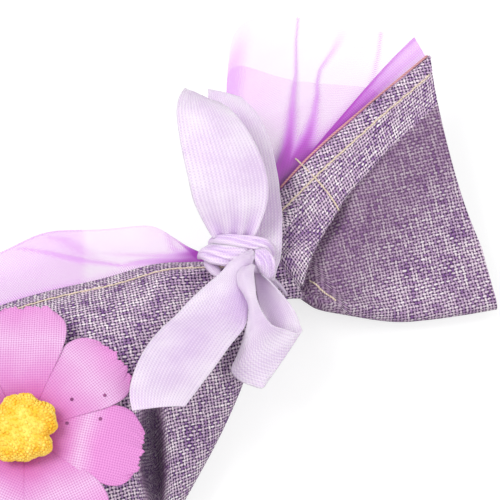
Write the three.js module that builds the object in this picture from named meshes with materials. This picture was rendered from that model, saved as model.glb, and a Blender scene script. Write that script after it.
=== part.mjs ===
// A lavender sachet lying on its back: a linen jacket round a sheer organza bag, gathered at the neck by a
// satin ribbon tied in a bow, with a cloth flower on its front. Millimetres, +Z up, +Y towards the mouth.
// The jacket is folded along its +X side and open along its -X side, where the organza frill comes out.
import * as THREE from "three";

// Cloth thicknesses, and the gap that is left between neighbouring layers
const LINEN = 0.8;
const ORGANZA = 0.4;
const MUSLIN = 0.5;
const RIBBON = 0.6;
const PETAL_CLOTH = 0.6;
const GAP = 0.4;

// Linen jacket: the stuffed body below the neck
const BODY_LENGTH = 121;
const BODY_WIDTH = 82;
const BODY_HEIGHT = 31;
const BODY_WIDEST = 88;
const CROWN_PLACE = 65;
const BOTTOM_HEIGHT = 5;
const SEAM_HEIGHT = 9;
const CORNER_ROUNDING = 26;
const CORNER_DROP = 7;
// How the pillow's section swells: the share of a half wave across the width, and its roundness at each face
const SWELL_SPAN = 0.93;
const FRONT_ROUNDNESS = 0.75;
const BACK_ROUNDNESS = 1.6;
// How the crown climbs from the neck and falls to the bottom end
const CLIMB_ROUNDNESS = 1.2;
const FALL_ROUNDNESS = 0.8;

// The gathered neck under the ribbon
const NECK_WIDTH = 16.8;
const NECK_HEIGHT = 11;
const NECK_CENTRE = 13;
const PLEAT_COUNT = 3;
const PLEAT_DEPTH = 1.5;
const PLEAT_PLACE = 14;
const PLEAT_SPREAD = 9;

// The flared mouth above the neck: its two corners in plan, and its heights at the end
const MOUTH_HEM_CORNER = [-16.9, 72.6];
const MOUTH_FOLD_CORNER = [44, 43];
const MOUTH_HEM_HEIGHT = 22;
const MOUTH_FOLD_HEIGHT = 8;
const MOUTH_DEPTH = 5.2;
// The mouth's sides bow out from straight lines, which a roundness of 1 would be. The mouth is fully open at
// one share of its length, and its front is as high as the hem from one share of its width on.
const MOUTH_FOLD_ROUNDNESS = 0.66;
const MOUTH_HEM_ROUNDNESS = 0.6;
const MOUTH_OPEN_SHARE = 0.5;
const MOUTH_TILT_SHARE = 0.85;

// Organza frill that stands out of the jacket's open side
const FRILL_WIDTH = 18.5;
const FRILL_RISE = 9;
const FRILL_HEIGHT = 8;
const FRILL_AT_NECK = 0.6;
const FAN_CORNER = [-55, 35];
const FAN_HEIGHT = 16;
const FAN_FOLDS = 3.5;
const FAN_FOLD_DEPTH = 3.6;
const FRILL_PUFFS = 3.5;
const FRILL_PUFF_DEPTH = 2;
const FRILL_END_SHARE = 0.3;
const FRILL_MEETING = 1.6;
const BAG_END_CLEARANCE = 8;

// Inner muslin sachet with the dried buds
const SACHET_NECK_CLEARANCE = 26;
const SACHET_END_CLEARANCE = 14;
const SACHET_SIDE_COLUMNS = 2;

// Ribbon and bow
const RIBBON_WIDTH = 15;
const BAND_WIDTH = 8;
const BAND_THICKNESS = 1;
const KNOT_SIZE = [13.2, 12, 9.2];
const ROOT_WIDTH = 5.6;
const ROOT_GAP = 0.7;
const LOOP_TAPER = 0.24;
const TAIL_TAPER = 0.42;
const UPPER_LOOP_LENGTH = 44;
const UPPER_LOOP_RISE = 13.4;
const UPPER_LOOP_ROOTS = [-1.2, 2.6];
const LOWER_LOOP_LENGTH = 26.5;
const LOWER_LOOP_RISE = 3.6;
const LOWER_LOOP_DROP = 6.6;
const LOWER_LOOP_ROOTS = [2.4, -2.6];
const LONG_TAIL_END = [17, -47];
const LONG_TAIL_ROOT = -0.6;
const LONG_TAIL_OVER_PETALS = 4;
const SHORT_TAIL_END = [-40, 22];
const SHORT_TAIL_ROOT = -3;
const SHORT_TAIL_RISE = 0.8;
const TAIL_CUT_ANGLE = 38;

// Cloth flower
const FLOWER_PLACE = 73.3;
const PETAL_COUNT = 7;
const FLOWER_RADIUS = 30;
const PETAL_LAP = 2.4;
const PETAL_ROOT_RADIUS = 3.2;
const PETAL_TWIST = 1.1;
const PETAL_RISE = 1.6;
const PETAL_DROOP = 1.2;
const PETAL_DENT = 1.1;
const PAD_RADIUS = 9;
const PAD_THICKNESS = 1.2;
const POLLEN_RADIUS = 8.75;
const POLLEN_HEIGHT = 6.5;
const POLLEN_RIM = 1.4;
const POLLEN_UNDERCUT = 0.9;

// Gold sewing thread
const THREAD = 0.5;
const THREAD_GAP = 0.35;
const HEM = 4.5;
const MOUTH_STITCH_PLACE = 22.8;
const STITCH_CLIMB_SHARE = 0.09;
const STITCH_START_SHARE = 0.04;
const THREAD_TAIL = 3;

const { lerp, clamp, smoothstep } = THREE.MathUtils;
const at = (x, y, z) => new THREE.Vector3(x, y, z);

// Materials

const cloth = (color, roughness, opacity = 1) =>
  new THREE.MeshStandardMaterial({ color, roughness, metalness: 0, opacity, transparent: opacity < 1 });

const linenMaterial = cloth(0x8d7a97, 0.95);
const organzaMaterial = cloth(0xc77be0, 0.4, 0.45);
const muslinMaterial = cloth(0xe9e2d4, 0.95);
const budMaterial = cloth(0x6b5a86, 1);
const satinMaterial = cloth(0xe3cdef, 0.35);
const petalMaterial = cloth(0xe892de, 0.75);
const padMaterial = cloth(0xc86fb4, 0.95);
const pollenMaterial = cloth(0xf7cc2b, 0.85);
const threadMaterial = cloth(0xcdb384, 0.6);

// Solids

// Evenly spaced values from 0 to 1
const even = (steps) => Array.from({ length: steps + 1 }, (_, k) => k / steps);

// A closed sheet over a grid: us and vs list its rows and columns. face(u, v, side) gives the upper face for
// side 1 and the lower face for side 0, and four strips of wall join the two along the rim.
function sheet(us, vs, face) {
  const points = [];
  const triangles = [];
  const [uSteps, vSteps] = [us.length - 1, vs.length - 1];
  const [rows, columns] = [us.length, vs.length];
  for (const side of [1, 0]) {
    for (const u of us) {
      for (const v of vs) points.push(face(u, v, side));
    }
  }
  const index = (side, i, j) => (side ? 0 : rows * columns) + i * columns + j;
  const quad = (a, b, c, d) => triangles.push(a, b, c, a, c, d);
  for (let i = 0; i < uSteps; i++) {
    for (let j = 0; j < vSteps; j++) {
      quad(index(1, i, j), index(1, i + 1, j), index(1, i + 1, j + 1), index(1, i, j + 1));
      quad(index(0, i, j), index(0, i, j + 1), index(0, i + 1, j + 1), index(0, i + 1, j));
    }
  }
  for (let i = 0; i < uSteps; i++) {
    quad(index(1, i, 0), index(0, i, 0), index(0, i + 1, 0), index(1, i + 1, 0));
    quad(index(1, i + 1, vSteps), index(0, i + 1, vSteps), index(0, i, vSteps), index(1, i, vSteps));
  }
  for (let j = 0; j < vSteps; j++) {
    quad(index(1, 0, j + 1), index(0, 0, j + 1), index(0, 0, j), index(1, 0, j));
    quad(index(1, uSteps, j), index(0, uSteps, j), index(0, uSteps, j + 1), index(1, uSteps, j + 1));
  }
  return facingOut(points, triangles);
}

// A geometry of the points and triangles, with the triangles turned round if they enclose a negative volume
function facingOut(points, triangles) {
  let volume = 0;
  for (let k = 0; k < triangles.length; k += 3) {
    const [a, b, c] = [0, 1, 2].map((n) => points[triangles[k + n]]);
    volume += a.dot(b.clone().cross(c));
  }
  const order = volume < 0 ? triangles.slice().reverse() : triangles;
  const geometry = new THREE.BufferGeometry().setFromPoints(points);
  geometry.setIndex(order);
  geometry.computeVertexNormals();
  return geometry;
}

// A round thread along a list of points
function threadAlong(points, steps) {
  const section = new THREE.Shape();
  section.absarc(0, 0, THREAD / 2, 0, 2 * Math.PI);
  const extrudePath = new THREE.CatmullRomCurve3(points);
  return new THREE.ExtrudeGeometry(section, { steps, curveSegments: 3, extrudePath });
}

// Plan of the cloth. s runs across from the fold (0) to the open hem (1) and on to the frill's edge (2).
// A station is a place along the sachet: down is the distance below the neck's centre for the body, and
// t runs from the neck (0) to the end (1) for the mouth. The neck between the two is straight.

// Half the length of the straight neck, which the ribbon's band goes round
const NECK_STRAIGHT = BAND_WIDTH / 2 + GAP;

// Heights of the flower on the crown of the body
const PAD_BOTTOM = BODY_HEIGHT + GAP;
const PETAL_BASE = PAD_BOTTOM + PAD_THICKNESS + GAP;

function bodyHalfWidth(down) {
  const swell = Math.sin((Math.PI / 2) * clamp((down - NECK_STRAIGHT) / (BODY_WIDEST - NECK_STRAIGHT), 0, 1));
  const corner = clamp((down - BODY_LENGTH + CORNER_ROUNDING) / CORNER_ROUNDING, 0, 1);
  return lerp(NECK_WIDTH / 2, BODY_WIDTH / 2, swell) - CORNER_DROP * corner ** 3;
}

function frillWidth(down) {
  const grown = FRILL_WIDTH * (1 - Math.exp((NECK_STRAIGHT - down) / FRILL_RISE));
  const taper = smoothstep(BODY_LENGTH - down, 0, CORNER_ROUNDING);
  return FRILL_AT_NECK + grown * lerp(FRILL_END_SHARE, 1, taper);
}

function planOfBody(s, down) {
  const half = bodyHalfWidth(down);
  const x = s <= 1 ? lerp(half, -half, s) : -half - frillWidth(down) * (s - 1);
  return [x, -down];
}

function planOfMouth(s, t) {
  const start = NECK_WIDTH / 2;
  const to = (corner, from, roundness) => [
    lerp(from, corner[0], t ** roundness),
    lerp(NECK_STRAIGHT, corner[1], t),
  ];
  const fold = to(MOUTH_FOLD_CORNER, start, MOUTH_FOLD_ROUNDNESS);
  const hem = to(MOUTH_HEM_CORNER, -start, MOUTH_HEM_ROUNDNESS);
  const fan = to(FAN_CORNER, -start - FRILL_AT_NECK, 1);
  const [from, next, share] = s <= 1 ? [fold, hem, s] : [hem, fan, s - 1];
  return [lerp(from[0], next[0], share), lerp(from[1], next[1], share)];
}

// Heights of the jacket's front face and back face over the plan

// How full the pillow is across its width: nothing at the fold, most in the middle, a little at the hem
const fullness = (s) => Math.sin(Math.PI * SWELL_SPAN * clamp(s, 0, 1)) ** FRONT_ROUNDNESS;

// Half the thickness of the linen where the front and the back meet along the fold
const SEAM_HALF = LINEN + GAP / 2;

function pleats(s, distance) {
  const swell = Math.exp(-(((distance - PLEAT_PLACE) / PLEAT_SPREAD) ** 2));
  return PLEAT_DEPTH * swell * fullness(s) * Math.cos(2 * Math.PI * PLEAT_COUNT * (s - 0.5));
}

const neckFront = (s) => NECK_CENTRE + SEAM_HALF + (NECK_HEIGHT / 2 - SEAM_HALF) * fullness(s);
const neckBack = (s) => 2 * NECK_CENTRE - neckFront(s);

function bodySeam(down) {
  const settled = lerp(NECK_CENTRE, SEAM_HEIGHT, smoothstep(down, NECK_STRAIGHT, BODY_WIDEST / 2));
  return lerp(settled, BOTTOM_HEIGHT / 2, smoothstep(down, CROWN_PLACE, BODY_LENGTH));
}

function bodyCrown(down) {
  if (down < CROWN_PLACE) {
    const climb = Math.sin((Math.PI / 2) * ((down - NECK_STRAIGHT) / (CROWN_PLACE - NECK_STRAIGHT)));
    return lerp(neckFront(0.5), BODY_HEIGHT, climb ** CLIMB_ROUNDNESS);
  }
  const fall = Math.cos((Math.PI / 2) * ((down - CROWN_PLACE) / (BODY_LENGTH - CROWN_PLACE)));
  return lerp(BOTTOM_HEIGHT, BODY_HEIGHT, Math.max(0, fall) ** FALL_ROUNDNESS);
}

function bodyFront(s, down) {
  const seam = bodySeam(down) + SEAM_HALF;
  return seam + Math.max(0, bodyCrown(down) - seam) * fullness(s) + pleats(s, down);
}

// The back sags to the floor, and lies flat on it over most of the body
function bodyBack(s, down) {
  const seam = bodySeam(down) - SEAM_HALF;
  const settled = smoothstep(down, NECK_STRAIGHT, BODY_WIDEST / 3);
  const sag = lerp(NECK_HEIGHT / 2 - SEAM_HALF, seam + SEAM_HEIGHT / 2, settled);
  const end = smoothstep(BODY_LENGTH - down, 0, CORNER_ROUNDING / 2);
  return Math.max(0, seam - sag * end * fullness(s) ** BACK_ROUNDNESS - pleats(s, down));
}

// The mouth opens from the neck into a fan of cloth that rises from the fold to the hem
const mouthOpen = (t) => smoothstep(t, 0, MOUTH_OPEN_SHARE);

function mouthHeight(s, t, neck, depth) {
  const end = lerp(MOUTH_FOLD_HEIGHT, MOUTH_HEM_HEIGHT, smoothstep(s, 0, MOUTH_TILT_SHARE)) - depth;
  return lerp(neck, end, mouthOpen(t));
}

const mouthPleats = (s, t) => pleats(s, lerp(NECK_STRAIGHT, MOUTH_HEM_CORNER[1], t));
const mouthFront = (s, t) => mouthHeight(s, t, neckFront(s), 0) + mouthPleats(s, t);
const mouthBack = (s, t) =>
  mouthHeight(s, t, neckBack(s), MOUTH_DEPTH) + mouthPleats(s, t) * (2 * mouthOpen(t) - 1);

const planOf = (s, { down, t }) => (t === undefined ? planOfBody(s, down) : planOfMouth(s, t));
const frontOf = (s, { down, t }) => (t === undefined ? bodyFront(s, down) : mouthFront(s, t));
const backOf = (s, { down, t }) => (t === undefined ? bodyBack(s, down) : mouthBack(s, t));

// Every layer of cloth is built over the same grid, so that neighbours keep their gap everywhere
const BODY_STEPS = 13;
const MOUTH_STEPS = 9;
const ACROSS_STEPS = 12;
const FRILL_STEPS = 8;
const NECK_CROWDING = 1.3;
const BODY_STATIONS = even(BODY_STEPS).map((k) => ({
  down: lerp(NECK_STRAIGHT, BODY_LENGTH, (1 - k) ** NECK_CROWDING),
}));
const MOUTH_STATIONS = even(MOUTH_STEPS).map((k) => ({ t: k ** NECK_CROWDING }));
const COLUMNS = even(ACROSS_STEPS);
const FRILL_COLUMNS = even(FRILL_STEPS).slice(1).map((k) => 1 + k);

// Body stations at least the given distances from the neck's centre and from the bottom end
function bodyStations(fromNeck, fromEnd) {
  return BODY_STATIONS.filter(({ down }) => down >= fromNeck && down <= BODY_LENGTH - fromEnd);
}

// Linen jacket

function linenPanel(isFront) {
  const inward = isFront ? -LINEN : LINEN;
  return sheet([...BODY_STATIONS, ...MOUTH_STATIONS], COLUMNS, (station, s, side) => {
    const [x, y] = planOf(s, station);
    const outer = isFront ? frontOf(s, station) : backOf(s, station);
    return at(x, y, isFront === (side === 1) ? outer : outer + inward);
  });
}

// Organza bag: one sheet inside each face of the jacket, the two meeting in the frill

const ORGANZA_INSET = LINEN + GAP;

// Middle height of the frill: soft puffs along the body, folds that radiate across the fan at the mouth
function frillMiddle(share, { down, t }) {
  if (t === undefined) {
    const puff = Math.sin(2 * Math.PI * FRILL_PUFFS * (down / BODY_LENGTH)) * FRILL_PUFF_DEPTH;
    const settle = smoothstep(down, NECK_STRAIGHT, BODY_WIDEST / 3);
    return lerp(NECK_CENTRE, FRILL_HEIGHT, settle) + puff * share * settle;
  }
  const depth = FAN_FOLD_DEPTH * t * smoothstep(share, 0, 1 / FAN_FOLDS);
  const fold = Math.sin(2 * Math.PI * FAN_FOLDS * share) * depth;
  const spread = lerp(MOUTH_HEM_HEIGHT - MOUTH_DEPTH / 2, FAN_HEIGHT, share);
  return lerp(NECK_CENTRE, spread, mouthOpen(t)) + fold;
}

function organzaSheet(isFront) {
  const outward = isFront ? 1 : -1;
  const stations = [...bodyStations(0, BAG_END_CLEARANCE), ...MOUTH_STATIONS];
  return sheet(stations, [...COLUMNS.slice(1), ...FRILL_COLUMNS], (station, s, side) => {
    const [x, y] = planOf(s, station);
    const inside = Math.min(s, 1);
    const jacket = isFront ? frontOf(inside, station) : backOf(inside, station);
    const meeting = frillMiddle(s - inside, station) + outward * (GAP / 2 + ORGANZA);
    const outer = lerp(jacket - outward * ORGANZA_INSET, meeting, smoothstep(s, 1, FRILL_MEETING));
    return at(x, y, isFront === (side === 1) ? outer : outer - outward * ORGANZA);
  });
}

// Inner sachet: two muslin halves sealed round the rim, and the mass of buds between them

const MUSLIN_INSET = ORGANZA_INSET + ORGANZA + GAP;
const BUD_INSET = MUSLIN_INSET + MUSLIN + GAP;
const SACHET_STATIONS = bodyStations(SACHET_NECK_CLEARANCE, SACHET_END_CLEARANCE);
const SACHET_COLUMNS = COLUMNS.slice(SACHET_SIDE_COLUMNS, -SACHET_SIDE_COLUMNS);

function muslinHalf(isTop) {
  const inward = isTop ? -MUSLIN : MUSLIN;
  return sheet(SACHET_STATIONS, SACHET_COLUMNS, (station, s, side) => {
    const [x, y] = planOf(s, station);
    const outer = isTop ? frontOf(s, station) - MUSLIN_INSET : backOf(s, station) + MUSLIN_INSET;
    return at(x, y, isTop === (side === 1) ? outer : outer + inward);
  });
}

function buds() {
  return sheet(SACHET_STATIONS.slice(1, -1), SACHET_COLUMNS.slice(1, -1), (station, s, side) => {
    const [x, y] = planOf(s, station);
    return at(x, y, side ? frontOf(s, station) - BUD_INSET : backOf(s, station) + BUD_INSET);
  });
}

// Ribbon: the band round the neck, the knot on top of it, and four stretches that leave the knot

const BAND_HALF_WIDTH = NECK_WIDTH / 2 + FRILL_AT_NECK + 2 * GAP;
const BAND_HALF_HEIGHT = neckFront(0.5) + pleats(0.5, NECK_STRAIGHT) - NECK_CENTRE + GAP;
const BAND_TOP = NECK_CENTRE + BAND_HALF_HEIGHT + BAND_THICKNESS;
const KNOT_HALF = KNOT_SIZE.map((size) => size / 2);
const KNOT_CENTRE = at(0, 0, BAND_TOP + GAP + KNOT_HALF[2]);

function neckBand() {
  const ring = new THREE.Shape();
  ring.absellipse(0, 0, BAND_HALF_WIDTH + BAND_THICKNESS, BAND_HALF_HEIGHT + BAND_THICKNESS, 0, 2 * Math.PI);
  const bore = new THREE.Path();
  bore.absellipse(0, 0, BAND_HALF_WIDTH, BAND_HALF_HEIGHT, 0, 2 * Math.PI, true);
  ring.holes.push(bore);
  const band = new THREE.ExtrudeGeometry(ring, { depth: BAND_WIDTH, bevelEnabled: false, curveSegments: 20 });
  return band.translate(0, 0, -BAND_WIDTH / 2).rotateX(Math.PI / 2);
}

function knot() {
  const ball = new THREE.SphereGeometry(1, 18, 12);
  ball.deleteAttribute("normal");
  ball.deleteAttribute("uv");
  return ball.scale(...KNOT_HALF);
}

// Point just outside the knot, in a plan direction and at a height above the knot's centre
function knotRoot(direction, rise) {
  const [dx, dy] = direction;
  const ring = Math.sqrt(1 - (rise / KNOT_HALF[2]) ** 2);
  const reach = ring / Math.hypot(dx / KNOT_HALF[0], dy / KNOT_HALF[1]) + ROOT_GAP;
  return at(dx * reach, dy * reach, KNOT_CENTRE.z + rise);
}

// A stretch of ribbon along a curve, across its width vector. It is narrowed into the knot over a share of its
// length at the ends given in roots. cut is the slope of a tail's cut end.
function ribbonStretch(path, across, roots, taper, steps, cut = 0) {
  const curve = new THREE.CatmullRomCurve3(path);
  return sheet(even(steps), even(4), (u, v, side) => {
    const tangent = curve.getTangent(u);
    const width = across.clone().addScaledVector(tangent, -across.dot(tangent)).normalize();
    const normal = tangent.clone().cross(width).normalize();
    const nearest = Math.min(...roots.map((root) => Math.abs(u - root)));
    const half = lerp(ROOT_WIDTH, RIBBON_WIDTH, smoothstep(nearest, 0, taper)) / 2;
    const shift = (2 * v - 1) * half;
    return curve
      .getPoint(u)
      .addScaledVector(width, shift)
      .addScaledVector(tangent, -shift * cut * u ** 3)
      .addScaledVector(normal, (side - 0.5) * RIBBON);
  });
}

// A loop that leaves the knot in a plan direction: stations give distance out and height, out and back
function ribbonLoop(direction, across, stations, rootRises) {
  const points = stations.map(([out, z]) => at(direction[0] * out, direction[1] * out, z));
  const path = [knotRoot(direction, rootRises[0]), ...points, knotRoot(direction, rootRises[1])];
  return ribbonStretch(path, across, [0, 1], LOOP_TAPER, 22);
}

const UPPER_LOOP_WAY = [-0.968, 0.251];
const LOWER_LOOP_WAY = [0.871, -0.491];
const LONG_TAIL_WAY = [-0.05, -0.999];
const SHORT_TAIL_WAY = [-0.87, 0.493];

const TAIL_CUT = Math.tan(THREE.MathUtils.degToRad(TAIL_CUT_ANGLE));

// Loop stations as shares of its length and rise: out along the lower layer, and back along the upper one
function upperLoop() {
  const shares = [
    [0.36, 0.05],
    [0.64, 0.25],
    [0.86, 0.54],
    [1, 0.82],
    [0.89, 1],
    [0.64, 0.94],
    [0.36, 0.64],
  ];
  const stations = shares.map(([out, up]) => [out * UPPER_LOOP_LENGTH, KNOT_CENTRE.z + up * UPPER_LOOP_RISE]);
  return ribbonLoop(UPPER_LOOP_WAY, at(0.251, 0.968, 0), stations, UPPER_LOOP_ROOTS);
}

// Out along the upper layer, then over the end and back along the lower one
function lowerLoop() {
  const shares = [
    [0.47, 1],
    [0.77, 0.56],
    [0.96, -0.3],
    [1, -0.76],
    [0.85, -1],
    [0.58, -0.76],
  ];
  const stations = shares.map(([out, up]) => {
    const height = up > 0 ? up * LOWER_LOOP_RISE : up * LOWER_LOOP_DROP;
    return [out * LOWER_LOOP_LENGTH, KNOT_CENTRE.z + height];
  });
  return ribbonLoop(LOWER_LOOP_WAY, at(0.491, 0.871, 0), stations, LOWER_LOOP_ROOTS);
}

// A tail from the knot to its end, through stations given as shares of its reach in x, in y and in height
function ribbonTail({ way, root, end, endHeight, across, cut }, shares) {
  const from = knotRoot(way, root);
  const points = shares.map(([x, y, up]) => at(x * end[0], y * end[1], lerp(from.z, endHeight, up)));
  return ribbonStretch([from, ...points], across, [0], TAIL_TAPER, 14, cut);
}

// The long tail climbs from the knot over the edge of the first petal
function longTail() {
  const shares = [
    [0.07, 0.3, 0.1],
    [0.33, 0.56, 0.26],
    [0.64, 0.77, 0.62],
    [1, 1, 1],
  ];
  const endHeight = PETAL_BASE + LONG_TAIL_OVER_PETALS;
  const across = at(0.92, 0.39, 0);
  const tail = { way: LONG_TAIL_WAY, root: LONG_TAIL_ROOT, end: LONG_TAIL_END, endHeight, across, cut: TAIL_CUT };
  return ribbonTail(tail, shares);
}

function shortTail() {
  const shares = [
    [0.38, 0.48, 0.16],
    [0.68, 0.75, 0.47],
    [1, 1, 1],
  ];
  const endHeight = KNOT_CENTRE.z + SHORT_TAIL_RISE;
  const across = at(0.46, 0.89, 0);
  const cut = TAIL_CUT / 2;
  const tail = { way: SHORT_TAIL_WAY, root: SHORT_TAIL_ROOT, end: SHORT_TAIL_END, endHeight, across, cut };
  return ribbonTail(tail, shares);
}

// Flower: a felt pad on the linen, a ring of petals that each lap over the next, and the pollen head

const FLOWER_AXIS = at(0, -FLOWER_PLACE, 0);

// Half the width of a petal at a radius: it fills its share of the circle, laps over its neighbour by
// PETAL_LAP where it is broadest, and rounds off to the tip
function petalHalfWidth(radius) {
  const u = (radius - PETAL_ROOT_RADIUS) / (FLOWER_RADIUS - PETAL_ROOT_RADIUS);
  const share = (Math.PI / PETAL_COUNT) * radius;
  const lap = lerp(-GAP, PETAL_LAP / 2, smoothstep(u, 0.2, 0.7));
  return (share + lap) * Math.sqrt(1 - clamp((u - 0.45) / 0.66, 0, 0.96) ** 2);
}

function petal() {
  const length = FLOWER_RADIUS - PETAL_ROOT_RADIUS;
  return sheet(even(8).map((k) => 1 - (1 - k) ** 1.3), even(6), (u, v, side) => {
    const across = 2 * v - 1;
    const radius = PETAL_ROOT_RADIUS + length * u;
    const dent = PETAL_DENT * u ** 4 * Math.cos(1.5 * Math.PI * across) ** 2;
    const lift = PETAL_RISE * Math.sin(Math.PI * u) - PETAL_DROOP * u ** 2 - PETAL_TWIST * u ** 0.7 * across;
    return at(radius - dent, across * petalHalfWidth(radius), PETAL_BASE + lift + side * PETAL_CLOTH);
  });
}

// A low dome on an upright rim, drawn in a little underneath
function pollenHead() {
  const rings = 7;
  const profile = [new THREE.Vector2(0, 0), new THREE.Vector2(POLLEN_RADIUS * POLLEN_UNDERCUT, 0)];
  for (let k = 0; k <= rings; k++) {
    const angle = (Math.PI / 2) * (k / rings);
    const radius = POLLEN_RADIUS * Math.cos(angle) ** 0.8;
    const height = lerp(POLLEN_RIM, POLLEN_HEIGHT, Math.sin(angle));
    profile.push(new THREE.Vector2(k === rings ? 0 : radius, height));
  }
  return new THREE.LatheGeometry(profile, 20).rotateX(Math.PI / 2);
}

function pad() {
  return new THREE.CylinderGeometry(PAD_RADIUS, PAD_RADIUS, PAD_THICKNESS, 24).rotateX(Math.PI / 2);
}

// Gold thread: two runs along each hem of the jacket, broken at the ribbon, and one row across the mouth

const THREAD_LIFT = THREAD_GAP + THREAD / 2;

// Share across the cloth of a line that keeps the hem's width from the open edge
function hemShare(station) {
  const [x0, y0] = planOf(0, station);
  const [x1, y1] = planOf(1, station);
  return 1 - HEM / Math.hypot(x1 - x0, y1 - y0);
}

function hemThread(isFront, stations) {
  const points = stations.map((station) => {
    const s = hemShare(station);
    const [x, y] = planOf(s, station);
    return at(x, y, isFront ? frontOf(s, station) + THREAD_LIFT : backOf(s, station) - THREAD_LIFT);
  });
  return threadAlong(points, 2 * points.length - 2);
}

// The row across the mouth climbs over the hem's row, and its loose end hangs past the hem
function mouthThread() {
  const row = { t: (MOUTH_STITCH_PLACE - NECK_STRAIGHT) / (MOUTH_HEM_CORNER[1] - NECK_STRAIGHT) };
  const crossing = hemShare(row);
  const points = even(26).map((k) => {
    const s = lerp(STITCH_START_SHARE, 1, k);
    const [x, y] = planOf(s, row);
    const climb = (THREAD + THREAD_GAP) * Math.exp(-(((s - crossing) / STITCH_CLIMB_SHARE) ** 2));
    return at(x, y, frontOf(s, row) + THREAD_LIFT + climb);
  });
  const [before, last] = points.slice(-2);
  const onward = last.clone().sub(before).setZ(0).setLength(THREAD_TAIL);
  return threadAlong([...points, last.clone().add(onward)], points.length);
}

// Assembly

const sachet = new THREE.Group();

function add(name, geometry, material, position = at(0, 0, 0), turn = 0) {
  const mesh = new THREE.Mesh(geometry, material);
  mesh.name = name;
  mesh.position.copy(position);
  mesh.rotation.z = turn;
  sachet.add(mesh);
}

add("linen_front_panel", linenPanel(true), linenMaterial);
add("linen_back_panel", linenPanel(false), linenMaterial);
add("organza_front_sheet", organzaSheet(true), organzaMaterial);
add("organza_back_sheet", organzaSheet(false), organzaMaterial);
add("inner_sachet_top", muslinHalf(true), muslinMaterial);
add("inner_sachet_bottom", muslinHalf(false), muslinMaterial);
add("lavender_fill", buds(), budMaterial);

add("ribbon_neck_band", neckBand(), satinMaterial, at(0, 0, NECK_CENTRE));
add("ribbon_knot", knot(), satinMaterial, KNOT_CENTRE);
add("ribbon_upper_loop", upperLoop(), satinMaterial);
add("ribbon_lower_loop", lowerLoop(), satinMaterial);
add("ribbon_long_tail", longTail(), satinMaterial);
add("ribbon_short_tail", shortTail(), satinMaterial);

add("flower_pad", pad(), padMaterial, FLOWER_AXIS.clone().setZ(PAD_BOTTOM + PAD_THICKNESS / 2));
for (let k = 0; k < PETAL_COUNT; k++) {
  const turn = Math.PI / 2 - (2 * Math.PI * k) / PETAL_COUNT;
  add(`petal_${k + 1}`, petal(), petalMaterial, FLOWER_AXIS, turn);
}
const pollenSeat = PETAL_BASE + PETAL_CLOTH + PETAL_RISE + GAP;
add("pollen_head", pollenHead(), pollenMaterial, FLOWER_AXIS.clone().setZ(pollenSeat));

const bodyRow = bodyStations(NECK_STRAIGHT + 1, BAG_END_CLEARANCE);
const backRow = bodyRow.filter((station) => backOf(hemShare(station), station) > 4 * THREAD_LIFT);
const mouthRow = MOUTH_STATIONS.slice(2);
add("hem_thread_body", hemThread(true, bodyRow), threadMaterial);
add("hem_thread_mouth", hemThread(true, mouthRow), threadMaterial);
add("back_hem_thread_body", hemThread(false, backRow), threadMaterial);
add("back_hem_thread_mouth", hemThread(false, mouthRow), threadMaterial);
add("mouth_stitch_thread", mouthThread(), threadMaterial);

// The origin is the middle of the part's footprint, on the surface that it lies on
const extent = new THREE.Box3().setFromObject(sachet);
const middle = extent.getCenter(at(0, 0, 0));
sachet.position.set(-middle.x, -middle.y, -extent.min.z);

export default sachet;
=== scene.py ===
# A lavender sachet on a pale floor: linen jacket, organza bag, satin bow and cloth flower.
# Shapes are worked out in millimetres, with the middle of the neck at the origin of the plan.
import math

import bmesh
import bpy
import numpy as np
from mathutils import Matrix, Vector


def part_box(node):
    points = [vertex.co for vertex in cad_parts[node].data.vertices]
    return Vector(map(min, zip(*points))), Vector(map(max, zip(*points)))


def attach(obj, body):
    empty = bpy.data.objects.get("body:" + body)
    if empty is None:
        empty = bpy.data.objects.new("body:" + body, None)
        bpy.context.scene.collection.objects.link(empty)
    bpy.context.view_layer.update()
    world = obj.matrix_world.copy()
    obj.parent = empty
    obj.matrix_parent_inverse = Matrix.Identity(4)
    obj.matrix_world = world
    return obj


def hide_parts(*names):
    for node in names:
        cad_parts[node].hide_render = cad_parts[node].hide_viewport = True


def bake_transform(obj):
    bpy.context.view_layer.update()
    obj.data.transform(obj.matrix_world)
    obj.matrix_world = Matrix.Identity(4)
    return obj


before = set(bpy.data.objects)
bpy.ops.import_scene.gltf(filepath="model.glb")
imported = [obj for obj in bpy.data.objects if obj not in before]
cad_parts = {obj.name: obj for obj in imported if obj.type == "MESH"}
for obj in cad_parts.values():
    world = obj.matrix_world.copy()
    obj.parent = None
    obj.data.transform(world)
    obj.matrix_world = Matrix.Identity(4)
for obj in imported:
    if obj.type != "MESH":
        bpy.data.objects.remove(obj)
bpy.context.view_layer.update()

MM = 0.001


def corners(node):
    """Lowest and highest corner of a solid, in millimetres."""
    return [np.array(corner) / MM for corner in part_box(node)]


# Places taken from the frame
BAND_LOW, BAND_HIGH = corners("ribbon_neck_band")
NECK = (BAND_LOW + BAND_HIGH) / 2
ORIGIN = np.array([NECK[0], NECK[1], 0.0])
KNOT = np.mean(corners("ribbon_knot"), axis=0) - ORIGIN
FLOWER = np.mean(corners("flower_pad"), axis=0) - ORIGIN
PAD_TOP = corners("flower_pad")[1][2]
POLLEN_LOW, POLLEN_HIGH = corners("pollen_head")

# Cloth thicknesses and the gap between layers
LINEN = 0.8
ORGANZA = 0.4
MUSLIN = 0.5
RIBBON = 0.35
PETAL_CLOTH = 0.3
BAND_CLOTH = 0.8
GAP = 0.4

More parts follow.
